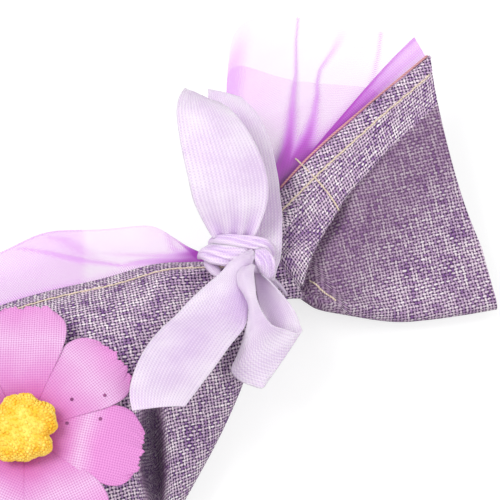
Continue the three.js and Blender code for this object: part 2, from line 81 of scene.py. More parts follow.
# Weaves: spacing of the yarns, how far they stray, and how much they rise and thin over a crossing
LINEN_YARN = 0.88
LINEN_STRAY = 0.7
PETAL_YARN = 0.6
PETAL_STRAY = 0.12
MUSLIN_YARN = 0.5
MUSLIN_STRAY = 0.3
ORGANZA_YARN = 0.6
YARN_RISE = 0.35
YARN_DIP = 0.3
SLUB_STRETCH = 0.2
YARN_STEP = 3.7
WEFT_OFFSET = 9.0
RIB = 0.78
CROSS_RIB = 0.7
PLY = 0.8
GRAIN_TURN = math.radians(65)
GRAIN_ALONG = (math.cos(GRAIN_TURN), math.sin(GRAIN_TURN))
GRAIN_ACROSS = (math.sin(GRAIN_TURN), -math.cos(GRAIN_TURN))

# Linen jacket: the stuffed body
BODY_LENGTH = 121
BODY_WIDTH = 82
BODY_HEIGHT = 31
BODY_WIDEST = 88
CROWN_PLACE = 65
BOTTOM_HEIGHT = 5
SEAM_HEIGHT = 9
CORNER_ROUNDING = 26
CORNER_DROP = 7
SWELL_SPAN = 0.93
FRONT_ROUNDNESS = 0.75
BACK_ROUNDNESS = 1.6
CLIMB_ROUNDNESS = 1.2
FALL_ROUNDNESS = 0.8
HEM_BULGE = 2.1
HEM_BULGE_PLACE = 19
HEM_BULGE_SPREAD = 9
HEM_BULGE_START = 10
FOLD_DRAW = 1.8
FOLD_DRAW_PLACE = 50
FOLD_DRAW_SPREAD = 20
BODY_WAVES = 0.7
BODY_WAVES_NECK_EASE = (12, 40)
BODY_WAVES_END_EASE = 30
EDGE_LEAST = 0.4
EDGE_EASE = 0.6
SEAM_HALF = LINEN + GAP / 2

# A furrow beside the flower, as stations of place, width and strength
FURROW = (
    ((9.6, -43, 1.4, 0), (12.4, -45.5, 2.2, 0.8), (15.8, -48.5, 2.6, 1), (23.7, -54.6, 2.6, 1),
     (31, -59.5, 2.2, 0.5), (38, -64, 2, 0)),
)
FURROW_DEPTH = 6.5
# A painted shadow darkens the furrow's cloth beside the flower, where the petals' shadow falls: its spread,
# strength as a mark and easing edge
FURROW_PAINTED_SHADOW_SPREAD = 1.25
FURROW_PAINTED_SHADOW = 2
FURROW_PAINTED_SHADOW_EDGE = (0.3, 0.62)
LINING_SPREAD = 1.6

# The gathered neck
NECK_WIDTH = 16.8
NECK_HEIGHT = 11
NECK_CENTRE = NECK[2]
NECK_STRAIGHT = 4.4
NECK_FLARE = 3.5
FLARE_START = 1
PLEAT_COUNT = 3
PLEAT_DEPTH = 1.5
PLEAT_PLACE = 14
PLEAT_SPREAD = 9
FINE_PLEAT_COUNT = 7.3
FINE_PLEAT_DEPTH = 0.45
FINE_PLEAT_PLACE = 8
FINE_PLEAT_SPREAD = 9

# The flared mouth
MOUTH_HEM_CORNER = (-16.9, 72.6)
MOUTH_FOLD_CORNER = (44, 43)
MOUTH_HEM_HEIGHT = 22
MOUTH_FOLD_HEIGHT = 8
MOUTH_DEPTH = 5.2
MOUTH_FOLD_ROUNDNESS = 0.66
MOUTH_HEM_ROUNDNESS = 0.28
FOLD_BULGE = 0.8
FOLD_BULGE_PLACE = 0.045
MOUTH_OPEN_SHARE = 0.5
MOUTH_TILT_SHARE = 0.85
MOUTH_DENT = 2.6
MOUTH_DENT_WAVES = 1.3
MOUTH_DENT_LEAN = 0.2
MOUTH_PLEAT_SHARE = 0.6
MOUTH_WAVES = 0.8
MOUTH_WAVE_SCALE = 1.6
MOUTH_WAVES_EASE = (0.3, 0.8)
# Tint of the mouth's cloth past the knife pleat: partly the cloth's darker tint, partly painted shade
# strongest at the pleat's edge
MOUTH_TINT_AND_PAINTED_SHADE_EDGE = (-0.4, 0.6)
MOUTH_TINT_AND_PAINTED_SHADE_FADE = (8, 30)
MOUTH_TINT_AND_PAINTED_SHADE_LEAST = 0.35

# The knife pleat beside the hem of the mouth, with a small fold and a groove beside the other edge
FLAP_PLACES = (0, 0.1, 0.25, 0.4, 0.55, 0.7)
FLAP_WIDTHS = (20.2, 18.4, 15.7, 14.7, 14.6, 13.6)
FLAP_TUCK = 2.6
FLAP_LIFT = 1.0
FLAP_DROP = 5.0
FLAP_SOFTNESS = 1.15
FLAP_PEAK = 2.33
FLAP_START = 0.025
FLAP_EASE = 0.8
FLAP_EASING = (0.28, 0.5)
FLAP_END = (0.6, 0.9)
FLAP_GRAIN = -8.9
VALLEY_LENGTH = 5
BACK_FOLLOWS = 0.4
SIDE_FOLD_START = 0.08
SIDE_FOLD_RISE = 1.3
SIDE_FOLD_PLACE = 2.2
SIDE_FOLD_WIDTH = 1.8
GROOVE_DEPTH = 1.5
GROOVE_PLACE = 5.5
GROOVE_DRIFT = 8
GROOVE_WIDTH = 2
LINING_GROOVE_DEPTH = 1.7
LINING_DROP_EDGE = (-7, -2.5)

# Organza frill and fan
FRILL_WIDTH = 17.4
FRILL_SWELL = 4
FRILL_SWELL_PLACE = 32
FRILL_SWELL_SPREAD = 11
FRILL_RISE = 1.6
FRILL_LAG = 5.2
FRILL_LAG_FADE = 9
FRILL_HEIGHT = 8
FRILL_AT_NECK = 0.6
FRILL_END_SHARE = 0.3
FRILL_MEETING = 0.6
FRILL_PUFFS = 3.5
FRILL_PUFF_DEPTH = 0.8
FRILL_PILLOW = 1.6
FRILL_PILLOW_EASE = (8, 30)
FRILL_CREASE_RISE = 1.2
FRILL_CREASE_SINK = 0.4
FAN_CORNER = (-55, 35)
FAN_SIDE_BOW = 1.5
FAN_HEIGHT = 16
FAN_BULGE = (7.6, 5)
FAN_BULGE_LEAN = 0.7
FAN_RIDGE = 2.4
FAN_RIDGE_FULL = 0.6
SELVAGE_WIDTHS = (0.6, 7.0)
SELVAGE_SPAN = (0.22, 0.985)
SELVAGE_WIDENING = (0.2, 1.05)
SELVAGE_TUCK = 1
SELVAGE_LIFT = 1.2
SELVAGE_SLOPE = 0.8
SELVAGE_LEAN = 0.25
BAG_END_CLEARANCE = 8
BACK_LAYER_END = 0.74
BACK_LAYER_CORNER = 0.16
BAG_FOLD_PLACE = 0.08

# Creases of the organza, as stations of place, width and strength
FAN_CREASES = (
    ((-49.4, 54.5, 0.4, 0.45), (-44.3, 49.4, 0.4, 0.5), (-36.7, 42.9, 0.6, 0.55), (-32, 37.9, 1.1, 0.6),
     (-26.1, 32.1, 1.6, 0.75), (-21.3, 26.9, 2.1, 0.9), (-17.8, 22.2, 2.8, 0.95), (-11, 11, 4, 1)),
    ((-37.8, 60.1, 1.6, 0.1), (-35.5, 55.3, 0.9, 0.34), (-33.3, 48.4, 0.6, 0.5), (-30.9, 45.3, 0.6, 0.55),
     (-27.9, 42.7, 0.8, 0.6), (-24.2, 38.5, 1.2, 0.65), (-20.4, 33.4, 1.9, 0.8), (-17, 27, 3.2, 0.95),
     (-11, 13, 4, 1)),
    ((-30.8, 67.7, 0.5, 0.36), (-27.1, 63.7, 0.5, 0.36), (-23.3, 58.9, 0.7, 0.3), (-20.8, 55.3, 1, 0.2)),
)
FRILL_CREASES = (
    ((-47.7, -42.4, 0.5, 0.3), (-41.2, -37.2, 0.7, 0.34), (-34.1, -32.2, 1.2, 0.42),
     (-29.2, -28.5, 1, 0.45), (-25.8, -26.2, 0.6, 0.45)),
    ((-45.7, -34.7, 0.6, 0.16), (-41.8, -31.8, 1.6, 0.24), (-36.3, -30.5, 1.8, 0.24),
     (-32, -28.9, 1.2, 0.16), (-28.6, -27.3, 0.8, 0.06)),
    ((-33.9, -28.1, 0.6, 0.06), (-27, -22, 0.8, 0.2), (-23, -18.5, 1, 0.3), (-19.4, -14.7, 1.4, 0.5),
     (-16.3, -10.6, 2, 0.85), (-13.4, -7.6, 2.6, 1)),
    ((-26.4, -10.4, 0.4, 0.2), (-21.3, -12.6, 0.9, 0.3), (-18.2, -12.4, 1.6, 0.5), (-15, -9.2, 2, 0.8)),
    ((-25.3, -25.8, 0.8, 0.3), (-22.8, -21.2, 1.2, 0.45), (-20, -17.3, 1.4, 0.55), (-17, -14, 1.8, 0.7),
     (-14, -10.2, 2.2, 0.95)),
)

# Density of the organza where it is gathered, sewn or doubled
FRILL_SHADE = 0.13
FRILL_SHADE_PLACE = (-33, -31.2)
FRILL_SHADE_SLOPE = 0.72
FRILL_SHADE_EASE = 2.5
FRILL_GATHER = 0.8
FRILL_GATHER_FADE = 3
FRILL_GATHER_THINS = 0.7
FRILL_HEM_DENSITY = 0.25
FRILL_HEM_SPREAD = 0.1
FRILL_RIM_DENSITY = 0.2
FRILL_RIM_SPREAD = 0.02
FAN_GATHER = 0.9
FAN_GATHER_SPREAD = 0.3
FAN_HEM_DENSITY = 0.5
FAN_HEM_SPREAD = 0.1
FAN_HEM_FADE = (0.5, 0.9)
FAN_SIDE_DENSITY = 0.12
FAN_EDGE_DENSITY = 0.34
FAN_EDGE_EASE = (0.86, 0.97)
FAN_END_LOSS = 0.8
FAN_END_EASE = (0.85, 1)
FAN_BACK_DENSITY = 0.06
FAN_BACK_RIDGE = 0.5
SELVAGE_DENSITIES = (0.95, 0.44)
SELVAGE_DENSITY_FADE = (0.4, 0.98)
SELVAGE_EDGE_DENSITY = 0.3
SELVAGE_MIDDLE_DENSITY = 0.12

# Inner sachet
SACHET_NECK_CLEARANCE = 26
SACHET_END_CLEARANCE = 14
SACHET_SIDE = 1 / 6
SACHET_EDGE = 0.4
SACHET_RIM = 0.05
SACHET_ROUNDING = 8
LINING_INSET = LINEN + ORGANZA + 2 * GAP
BUD_SHAPE = (1.0, 2.2, 0.9)
BUD_TURN = 2.4
BUD_ROOM = 2.2

# Ribbon
RIBBON_WIDTH = 15
CREASE_WIDTH = 0.2
CREASE_DEPTH = 0.34
CREASE_LENGTH = 0.28
ROLL_RADIUS = 2.2
GATHER_DEPTH = 0.5
GATHER_COUNT = 3.2
GATHER_LENGTH = 0.08
RIBBON_EDGE = 0.12
RIBBON_EDGE_WIDTH = 0.03
# Painted shade on the satin: in the hollows of gathers, in creases, and in patches where the ribbon lies in
# shade
GATHER_PAINTED_SHADE = 0.6
CREASE_PAINTED_SHADE = 0.5
PAINTED_SHADE_LENGTH = 0.16
PAINTED_SHADE_WIDTH = 0.4
BAND_HALF = 3.0
BAND_SHIFT = -1.6
BAND_RIDGE = 0.75
BAND_RIDGE_TURNS = 9
BAND_RIDGE_SWAY = 0.9
BAND_RIM = 0.5
BAND_INSET = 0.3
BAND_SLACK = 1.2
BAND_WANDER = 0.5
BOW_TURN = math.radians(50)
BOW_RIGHT = np.array([math.cos(BOW_TURN), math.sin(BOW_TURN), 0])
BOW_UP = np.array([-math.sin(BOW_TURN), math.cos(BOW_TURN), 0])

# Flower
PETAL_COUNT = 7
PETAL_LAP = 2.4
PETAL_ROOT_LAP = 0.8
PETAL_CLEARANCE = 0.1
PETAL_BROADEST = 0.44
PETAL_TIP_SPAN = 0.62
PETAL_ROOT_RADIUS = 3.2
PETAL_TWIST = 0.18
PETAL_RISE = 1.6
PETAL_DROOP = 1.2
PETAL_DENT = 0.55
PETAL_CORNER = 1.5
PETAL_RIPPLE = 0.4
PETAL_CREASE = 0.12
PETAL_BASE = PAD_TOP + GAP
SPECK_RADIUS = 0.45
SPECK_LIFT = 0.05
SPECKS = ((0, 13.4, -1.2), (0, 20.2, -5.3), (1, 9.5, 3.9), (1, 17, 6.5))
PETAL_LENGTHS = (25.8, 25.2, 26.4, 27.2, 26.2, 26.8, 29)
PETAL_TONES = (0, 0.4, 0.1, 0.2, 0, 0.15, 0)
POLLEN_RADIUS = 7.8
POLLEN_EDGE = 0.25
POLLEN_NOTCH = 0.2
POLLEN_NOTCH_TURN = 0.25
POLLEN_NOTCH_WIDTH = 0.13
POLLEN_LUMPS = 0.35
GRAIN_RADIUS = 0.45
GRAIN_COUNT = 640
GRAIN_SPREAD = 1.28
GRAIN_VARIETY = 0.22
GOLDEN_ANGLE = 2.39996

# Sewing thread
THREAD = 0.46
HEM = 5.2
STITCH = 3.0
STITCH_STEP = 0.3
STITCH_LIFT = 0.9
STITCH_DIVE = 2.2
HEM_STEP = 0.35
HEM_STEP_EASE = (0.2, 0.8)
HEM_STEP_ROUNDING = 0.9
HEM_ROLL = 0.5
HEM_ROLL_ROUNDING = 0.8
HEM_DIMPLE = 0.3
HEM_DIMPLE_WIDTH = 0.6
MOUTH_STITCH_PLACE = 26
MOUTH_STITCH_SLANT = 0.14
THREAD_TAIL = 3
CORD = 0.6
CORD_OFFSET = 0.35

# Floor, light and camera
FLOOR_HALF = 2
FLOOR_DROP = 0.0002
FLOOR_GLOW = 0.68
SKY_LEVEL = 0.62
CAMERA_PLACE = np.array([117.177, -102.239, 416.166])
CAMERA_AIM = np.array([-3.349, -1.106, 26.749])
CAMERA_LENS = 120.96
CAMERA_SENSOR = 36
CAMERA_NEAR = 0.01


# Small formulas on arrays

def lerp(a, b, share):
    """A value the given share of the way from a to b."""
    return a + (b - a) * share


def smooth(x, low, high):
    """Rises from 0 at low to 1 at high, level at both ends."""
    t = np.clip((x - low) / (high - low), 0, 1)
    return t * t * (3 - 2 * t)


def bell(x, width):
    """One at nought, falling off as a Gaussian of the given width."""
    return np.exp(-((x / width) ** 2))


def quarter_round(distance, radius):
    """Height of a quarter circle above its edge, as a share: 0 at the edge and 1 from the radius on."""
    return np.sqrt(1 - (1 - np.clip(distance / radius, 0, 1)) ** 2)


def crowded(count, first=0.0, last=1.0):
    """Values from first to last, set closer at both ends as a cosine gives them."""
    return lerp(first, last, 0.5 - 0.5 * np.cos(np.pi * np.linspace(0, 1, count)))


def undulation(x, y):
    """Slow waves of a soft surface: three crossing sines, between -1 and 1."""
    waves = np.sin(0.11 * x + 0.05 * y + 0.6) + np.sin(0.13 * y - 0.06 * x + 2.1)
    return (waves + np.sin(0.17 * x + 0.09 * y + 4)) / 3


def through(stations, count):
    """A smooth curve of count points through the stations, each stretch a Catmull-Rom cubic."""
    p = np.asarray(stations, float)
    p = np.vstack([2 * p[0] - p[1], p, 2 * p[-1] - p[-2]])
    place = np.linspace(0, len(p) - 3, count)
    k = np.minimum(place.astype(int), len(p) - 4)
    f = (place - k)[:, None]
    a, b, c, d = (p[k + n] for n in range(4))
    return b + 0.5 * f * (c - a + f * (2 * a - 5 * b + 4 * c - d + f * (3 * (b - c) + d - a)))


def near_lines(x, y, lines, spread=1):
    """How strongly nearby lines mark a place in plan. Each line falls off as a Gaussian of the distance
    to it, with the width and strength of its stations, and the strongest counts. Spread widens them
    all."""
    mark = np.zeros(np.shape(x))
    for line in lines:
        stations = np.asarray(line, float)
        for a, b in zip(stations[:-1], stations[1:]):
            run = b[:2] - a[:2]
            along = np.clip(((x - a[0]) * run[0] + (y - a[1]) * run[1]) / (run @ run), 0, 1)
            away = np.hypot(x - a[0] - along * run[0], y - a[1] - along * run[1])
            mark = np.maximum(mark, lerp(a[3], b[3], along) * bell(away, spread * lerp(a[2], b[2], along)))
    return mark


def steps_along(points, axis):
    """Running length along one axis of a grid of points."""
    lengths = np.linalg.norm(np.diff(points, axis=axis), axis=-1)
    start = [(1, 0) if n == axis else (0, 0) for n in range(lengths.ndim)]
    return np.cumsum(np.pad(lengths, start), axis=axis)


def unit(vectors):
    """Vectors divided by their lengths."""
    return vectors / np.maximum(np.linalg.norm(vectors, axis=-1, keepdims=True), 1e-9)


def grid_normals(points):
    """Unit normals of a grid: the cross product of its column and row directions."""
    rows, columns = np.gradient(points, axis=0), np.gradient(points, axis=1)
    return unit(np.cross(columns, rows))


# Meshes

class Patch:
    """A grid of points with a cloth coordinate in millimetres and one mark for each point. Faces that the
    turned mask picks take a second cloth coordinate, as where a fold turns the grain."""

    def __init__(self, points, uv=None, marks=None, flip=False, turned_uv=None, turned=None):
        self.points = points
        self.flip = flip
        shape = points.shape[:2]
        if uv is None:
            uv = np.stack([steps_along(points, 1), steps_along(points, 0)], -1)
        self.uv = uv
        self.turned_uv = turned_uv
        self.turned = turned
        self.marks = np.zeros(shape) if marks is None else np.broadcast_to(marks, shape)

    def quads(self):
        """The four corners of each face, from neighbouring rows and columns."""
        rows, columns = self.points.shape[:2]
        corner = np.arange(rows * columns).reshape(rows, columns)
        around = [corner[:-1, :-1], corner[:-1, 1:], corner[1:, 1:], corner[1:, :-1]]
        quads = np.stack(around, -1).reshape(-1, 4)
        return quads[:, ::-1] if self.flip else quads

    def corner_uv(self):
        """The cloth coordinate at each corner of each face."""
        quads = self.quads()
        uv = self.uv.reshape(-1, 2)[quads]
        if self.turned is None:
            return uv
        picked = self.turned[:-1, :-1].reshape(-1)[:, None, None]
        return np.where(picked, self.turned_uv.reshape(-1, 2)[quads], uv)


def weld(mesh):
    """Merges points that coincide, which closes seams and poles."""
    work = bmesh.new()
    work.from_mesh(mesh)
    bmesh.ops.remove_doubles(work, verts=work.verts, dist=1e-7)
    work.to_mesh(mesh)
    work.free()


pieces = []


def make_piece(name, patches, finish, stands_for=(), thickness=0.0, closed=False):
    """An object of the patches. A sheet gets its thickness behind its face, a closed shape is welded."""
    sizes = [p.points.shape[0] * p.points.shape[1] for p in patches]
    starts = np.cumsum([0, *sizes[:-1]])
    points = np.concatenate([p.points.reshape(-1, 3) for p in patches])
    corner = np.concatenate([p.quads() + start for p, start in zip(patches, starts)]).ravel()
    uv = np.concatenate([p.corner_uv().reshape(-1, 2) for p in patches])
    marks = np.concatenate([p.marks.reshape(-1) for p in patches])
    mesh = bpy.data.meshes.new(name)
    mesh.vertices.add(len(points))
    mesh.vertices.foreach_set("co", ((points + ORIGIN) * MM).astype(np.float32).ravel())
    mesh.loops.add(len(corner))
    mesh.loops.foreach_set("vertex_index", corner.astype(np.int32))
    mesh.polygons.add(len(corner) // 4)
    mesh.polygons.foreach_set("loop_start", np.arange(0, len(corner), 4, dtype=np.int32))
    mesh.update(calc_edges=True)
    mesh.polygons.foreach_set("use_smooth", np.ones(len(corner) // 4, bool))
    mesh.uv_layers.new(name="Cloth").data.foreach_set("uv", uv.astype(np.float32).ravel())
    mesh.attributes.new("mark", "FLOAT", "POINT").data.foreach_set("value", marks.astype(np.float32))
    if closed:
        weld(mesh)
    piece = bpy.data.objects.new(name, mesh)
    bpy.context.scene.collection.objects.link(piece)
    mesh.materials.append(finish)
    if thickness:
        wall = piece.modifiers.new("Thickness", "SOLIDIFY")
        wall.thickness = thickness * MM
        wall.offset = -1
    pieces.append(piece)
    if stands_for:
        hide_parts(*stands_for)
    return piece


# Finishes

def colour(red, green, blue):
    """Linear colour of a display colour given from 0 to 255."""
    parts = np.array([red, green, blue]) / 255
    linear = np.where(parts <= 0.04045, parts / 12.92, ((parts + 0.055) / 1.055) ** 2.4)
    return (*[float(part) for part in linear], 1.0)


class Finish:
    """A material under construction. Sockets take a number, a colour or another node's output."""

    def __init__(self, name):
        self.material = bpy.data.materials.new(name)
        self.material.use_nodes = True
        self.tree = self.material.node_tree
        self.shader = self.tree.nodes["Principled BSDF"]
        self.coordinates = self.node("TexCoord")

    def feed(self, socket, value):
        """Links an output to the socket, or writes a plain value into it."""
        if isinstance(value, bpy.types.NodeSocket):
            self.tree.links.new(value, socket)
        else:
            socket.default_value = value

    def node(self, kind, *values, **settings):
        """Adds a node. Values feed its sockets in order, and None leaves a socket as it is."""
        node = self.tree.nodes.new("ShaderNode" + kind)
        for key, value in settings.items():
            setattr(node, key, value)
        for socket, value in zip(node.inputs, values):
            if value is not None:
                self.feed(socket, value)
        return node

    def sums(self, operation, *values):
        """One operation on numbers."""
        return self.node("Math", *values, operation=operation).outputs[0]

    def vector(self, operation, *values):
        """One operation on vectors."""
        return self.node("VectorMath", *values, operation=operation).outputs[0]

    def scaled(self, vector, scale):
        """A vector times a number."""
        node = self.node("VectorMath", vector, operation="SCALE")
        node.inputs["Scale"].default_value = scale
        return node.outputs[0]

    def noise(self, vector, scale, detail=2.0):
        """Soft noise at a place, with so many spots to a unit."""
        node = self.node("TexNoise", vector)
        node.inputs["Scale"].default_value = scale
        node.inputs["Detail"].default_value = detail
        return node

    def between(self, share, a, b):
        """Mixes two colours."""
        node = self.node("Mix", data_type="RGBA")
        self.feed(node.inputs[0], share)
        self.feed(node.inputs[6], a)
        self.feed(node.inputs[7], b)
        return node.outputs[2]

    def level(self, share, a, b):
        """Mixes two numbers."""
        node = self.node("Mix", data_type="FLOAT")
        self.feed(node.inputs[0], share)
        self.feed(node.inputs[2], a)
        self.feed(node.inputs[3], b)
        return node.outputs[0]

    def ramp(self, share, *stops):
        """Colours at places from 0 to 1."""
        node = self.node("ValToRGB", share)
        points = node.color_ramp.elements
        while len(points) < len(stops):
            points.new(0.5)
        for point, (place, shade) in zip(points, stops):
            point.position = place
            point.color = shade
        return node.outputs[0]

    def waves(self, place, length):
        """A sine along a place, with one wave to each length."""
        return self.sums("SINE", self.sums("MULTIPLY", place, 2 * math.pi / length))

    def swing(self, noise, strength):
        """Noise about its middle, as a number either side of nought."""
        return self.sums("MULTIPLY", self.sums("SUBTRACT", noise, 0.5), strength)

    def times(self, a, b):
        """Multiplies two colours."""
        node = self.node("Mix", data_type="RGBA", blend_type="MULTIPLY")
        self.feed(node.inputs[0], 1.0)
        self.feed(node.inputs[6], a)
        self.feed(node.inputs[7], b)
        return node.outputs[2]

    def mark(self):
        """The mark that each point of the piece carries."""
        return self.node("Attribute", attribute_name="mark").outputs["Fac"]

    def set(self, **sockets):
        """Feeds the shader's own sockets, named with underscores for spaces."""
        for key, value in sockets.items():
            self.feed(self.shader.inputs[key.replace("_", " ")], value)

    def bump(self, height, strength, depth):
        """Raises the surface's shading by a height, in millimetres of depth."""
        node = self.node("Bump")
        node.inputs["Strength"].default_value = strength
        node.inputs["Distance"].default_value = depth * MM
        self.feed(node.inputs["Height"], height)
        self.set(Normal=node.outputs[0])


def woven(f, pitch, drift):
    """A plain weave on the cloth coordinate. Each yarn is a half sine across, and rises and falls by a
    sine over its crossings. The higher yarn shows, so the floats are longer than wide, and where a yarn
    is pale it is also thick. Gives which yarn is on top (0 warp, 1 weft), how high it is there, and a
    tone that wanders along each warp and each weft yarn."""
    uv = f.coordinates.outputs["UV"]
    wander = f.vector("SUBTRACT", f.noise(uv, 0.3).outputs["Color"], (0.5, 0.5, 0.5))
    quiver = f.vector("SUBTRACT", f.noise(uv, 1.1).outputs["Color"], (0.5, 0.5, 0.5))
    moved = f.vector("ADD", f.scaled(wander, drift), f.scaled(quiver, 0.6 * drift))
    place = f.scaled(f.vector("ADD", uv, moved), 1 / pitch)
    split = f.node("SeparateXYZ", place)
    x, y = split.outputs[0], split.outputs[1]
    column, row = f.sums("FLOOR", x), f.sums("FLOOR", y)
    along_warp = f.node(
        "CombineXYZ", f.sums("MULTIPLY", column, YARN_STEP), f.sums("MULTIPLY", y, SLUB_STRETCH), 0.0
    )
    along_weft = f.node(
        "CombineXYZ", f.sums("MULTIPLY", x, SLUB_STRETCH), f.sums("MULTIPLY", row, YARN_STEP), WEFT_OFFSET
    )
    warp_tone = f.noise(along_warp.outputs[0], 1.0).outputs["Fac"]
    weft_tone = f.noise(along_weft.outputs[0], 1.0).outputs["Fac"]
    crest_x = f.sums("SINE", f.sums("MULTIPLY", f.sums("FRACT", x), math.pi))
    crest_y = f.sums("SINE", f.sums("MULTIPLY", f.sums("FRACT", y), math.pi))
    warp_wave = f.sums("SINE", f.sums("MULTIPLY", f.sums("ADD", y, column), math.pi))
    weft_wave = f.sums("SINE", f.sums("MULTIPLY", f.sums("ADD", x, row), math.pi))
    warp = f.sums("ADD", f.sums("MULTIPLY_ADD", warp_wave, YARN_RISE, crest_x), warp_tone)
    weft = f.sums("ADD", f.sums("MULTIPLY_ADD", weft_wave, -YARN_RISE, crest_y), weft_tone)
    over = f.sums("GREATER_THAN", weft, warp)
    wave = f.level(over, warp_wave, f.sums("MULTIPLY", weft_wave, -1.0))
    crest = f.level(over, crest_x, crest_y)
    height = f.sums("MULTIPLY", crest, f.sums("MULTIPLY_ADD", wave, YARN_DIP, 1 - YARN_DIP))
    return over, height, warp_tone, weft_tone


def linen_finish():
    """Slubby yarns in a coarse plain weave: pale lilac warp, deeper weft and dark gaps between them,
    darkened partly as painted shade in the hollows of the weave. A mark of 1 lays a dusky tint over half of
    it, a darker tint of the cloth with painted shade beside the knife pleat, and a mark of 2 a nearly black
    painted shadow in the furrow."""
    f = Finish("linen")
    over, height, warp_tone, weft_tone = woven(f, LINEN_YARN, LINEN_STRAY)
    cloud = f.swing(f.noise(f.coordinates.outputs["UV"], 0.1).outputs["Fac"], 0.25)
    warp = f.ramp(
        f.sums("ADD", warp_tone, cloud),
        (0.32, colour(158, 118, 172)),
        (0.5, colour(226, 204, 222)),
        (0.66, colour(250, 238, 246)),
    )
    weft = f.ramp(
        f.sums("ADD", weft_tone, cloud),
        (0.34, colour(128, 86, 150)),
        (0.5, colour(206, 176, 208)),
        (0.66, colour(246, 232, 240)),
    )
    yarn = f.between(over, warp, weft)
    # Darker where the weave lies low: the gaps between yarns, partly painted shade in the weave's hollows
    gaps_and_painted_shade = f.ramp(height, (0.38, colour(56, 28, 78)), (0.8, (1, 1, 1, 1)))
    # The mark's tint: a darker tint of the cloth with painted shade beside the knife pleat, and a nearly
    # black painted shadow in the furrow
    mark = f.mark()
    tint = f.ramp(f.sums("MULTIPLY", mark, 0.5), (0.5, colour(108, 76, 108)), (1.0, colour(44, 12, 54)))
    share = f.sums("MINIMUM", f.sums("MULTIPLY", mark, 0.6), 0.76)
    tinted = f.between(share, f.times(yarn, gaps_and_painted_shade), tint)
    f.set(Base_Color=tinted, Roughness=0.9, Sheen_Weight=0.1, Specular_IOR_Level=0.2)
    f.bump(height, 0.6, 0.25)
    return f.material


def organza_finish():
    """Sheer magenta cloth: nearly clear where one layer lies flat, dense where it is gathered or folded."""
    f = Finish("organza")
    split = f.node("SeparateXYZ", f.coordinates.outputs["UV"])
    threads = f.waves(split.outputs[0], ORGANZA_YARN)
    crossing = f.waves(split.outputs[1], ORGANZA_YARN)
    mesh = f.sums("MULTIPLY_ADD", f.sums("ADD", threads, crossing), 0.16, 1.0)
    cloud = f.swing(f.noise(f.coordinates.outputs["UV"], 0.08).outputs["Fac"], 0.1)
    mark = f.mark()
    dense = f.sums("ADD", mark, cloud)
    alpha = f.sums("MULTIPLY", f.sums("MULTIPLY_ADD", dense, 0.86, 0.115), mesh)
    alpha = f.node("Clamp", alpha, 0.03, 0.97).outputs[0]
    tint = f.ramp(
        mark,
        (0.0, colour(234, 130, 240)),
        (0.5, colour(212, 112, 232)),
        (1.0, colour(172, 58, 186)),
    )
    f.set(Base_Color=tint, Alpha=alpha, Roughness=0.45, Specular_IOR_Level=0.3)
    return f.material


def satin_finish():
    """Pale lavender satin: fine ribs along the ribbon, broken into dots by the ribs that cross them. The
    mark deepens its colour as painted shade in gathers, creases and shaded patches."""
    f = Finish("satin")
    split = f.node("SeparateXYZ", f.coordinates.outputs["UV"])
    along = f.waves(split.outputs[0], RIB)
    across = f.waves(split.outputs[1], CROSS_RIB)
    dots = f.sums("MULTIPLY_ADD", f.sums("MULTIPLY", along, across), 0.6, f.sums("MULTIPLY", along, 0.4))
    cloudy = f.noise(f.coordinates.outputs["UV"], 0.09).outputs["Fac"]
    tone = f.sums("MULTIPLY_ADD", dots, 0.28, cloudy)
    base = f.ramp(tone, (0.28, colour(214, 189, 225)), (0.67, colour(241, 225, 245)))
    # Painted shade: the mark deepens the satin towards lilac in folds and shaded places
    with_painted_shade = f.between(f.sums("MULTIPLY", f.mark(), 0.8), base, colour(186, 136, 216))
    f.set(Base_Color=with_painted_shade, Roughness=0.38, Specular_IOR_Level=0.5, Sheen_Weight=0.1)
    f.set(Subsurface_Weight=0.65, Subsurface_Radius=(1, 0.85, 1), Subsurface_Scale=1.3 * MM)
    f.bump(dots, 0.6, 0.1)
    return f.material


def petal_finish():
    """Orchid pink cloth with a fine dotted weave, deeper towards the flower's centre and along the tip."""
    f = Finish("petal_cloth")
    height = woven(f, PETAL_YARN, PETAL_STRAY)[1]
    cloud = f.swing(f.noise(f.coordinates.outputs["UV"], 0.1).outputs["Fac"], 0.35)
    place = f.sums("ADD", f.mark(), cloud)
    base = f.ramp(
        place,
        (0.14, colour(200, 96, 166)),
        (0.36, colour(219, 150, 206)),
        (0.65, colour(233, 198, 231)),
        (1.0, colour(231, 156, 217)),
    )
    gaps = f.sums("MULTIPLY", f.sums("SUBTRACT", 1.0, height), 0.95)
    pricked = f.between(gaps, base, colour(192, 96, 176))
    f.set(Base_Color=pricked, Roughness=0.75, Sheen_Weight=0.15, Specular_IOR_Level=0.25)
    f.bump(height, 0.5, 0.12)
    return f.material


def mottled_finish(name, dark, light, scale, roughness):
    """A grainy finish between two colours, on the object's own coordinates."""
    f = Finish(name)
    grain = f.noise(f.coordinates.outputs["Object"], scale, 3.0).outputs["Fac"]
    mottled = f.ramp(grain, (0.35, dark), (0.65, light))
    f.set(Base_Color=mottled, Roughness=roughness, Specular_IOR_Level=0.3)
    f.bump(grain, 0.4, 0.15)
    return f.material


def thread_finish(name, dark, light):
    """Two-ply thread: slanting stripes on the thread's own coordinate."""
    f = Finish(name)
    split = f.node("SeparateXYZ", f.coordinates.outputs["UV"])
    turn = f.sums("ADD", split.outputs[0], split.outputs[1])
    ply = f.sums("MULTIPLY_ADD", f.waves(turn, PLY), 0.5, 0.5)
    f.set(Base_Color=f.between(ply, dark, light), Roughness=0.6, Sheen_Weight=0.2)
    f.bump(ply, 0.5, 0.1)
    return f.material


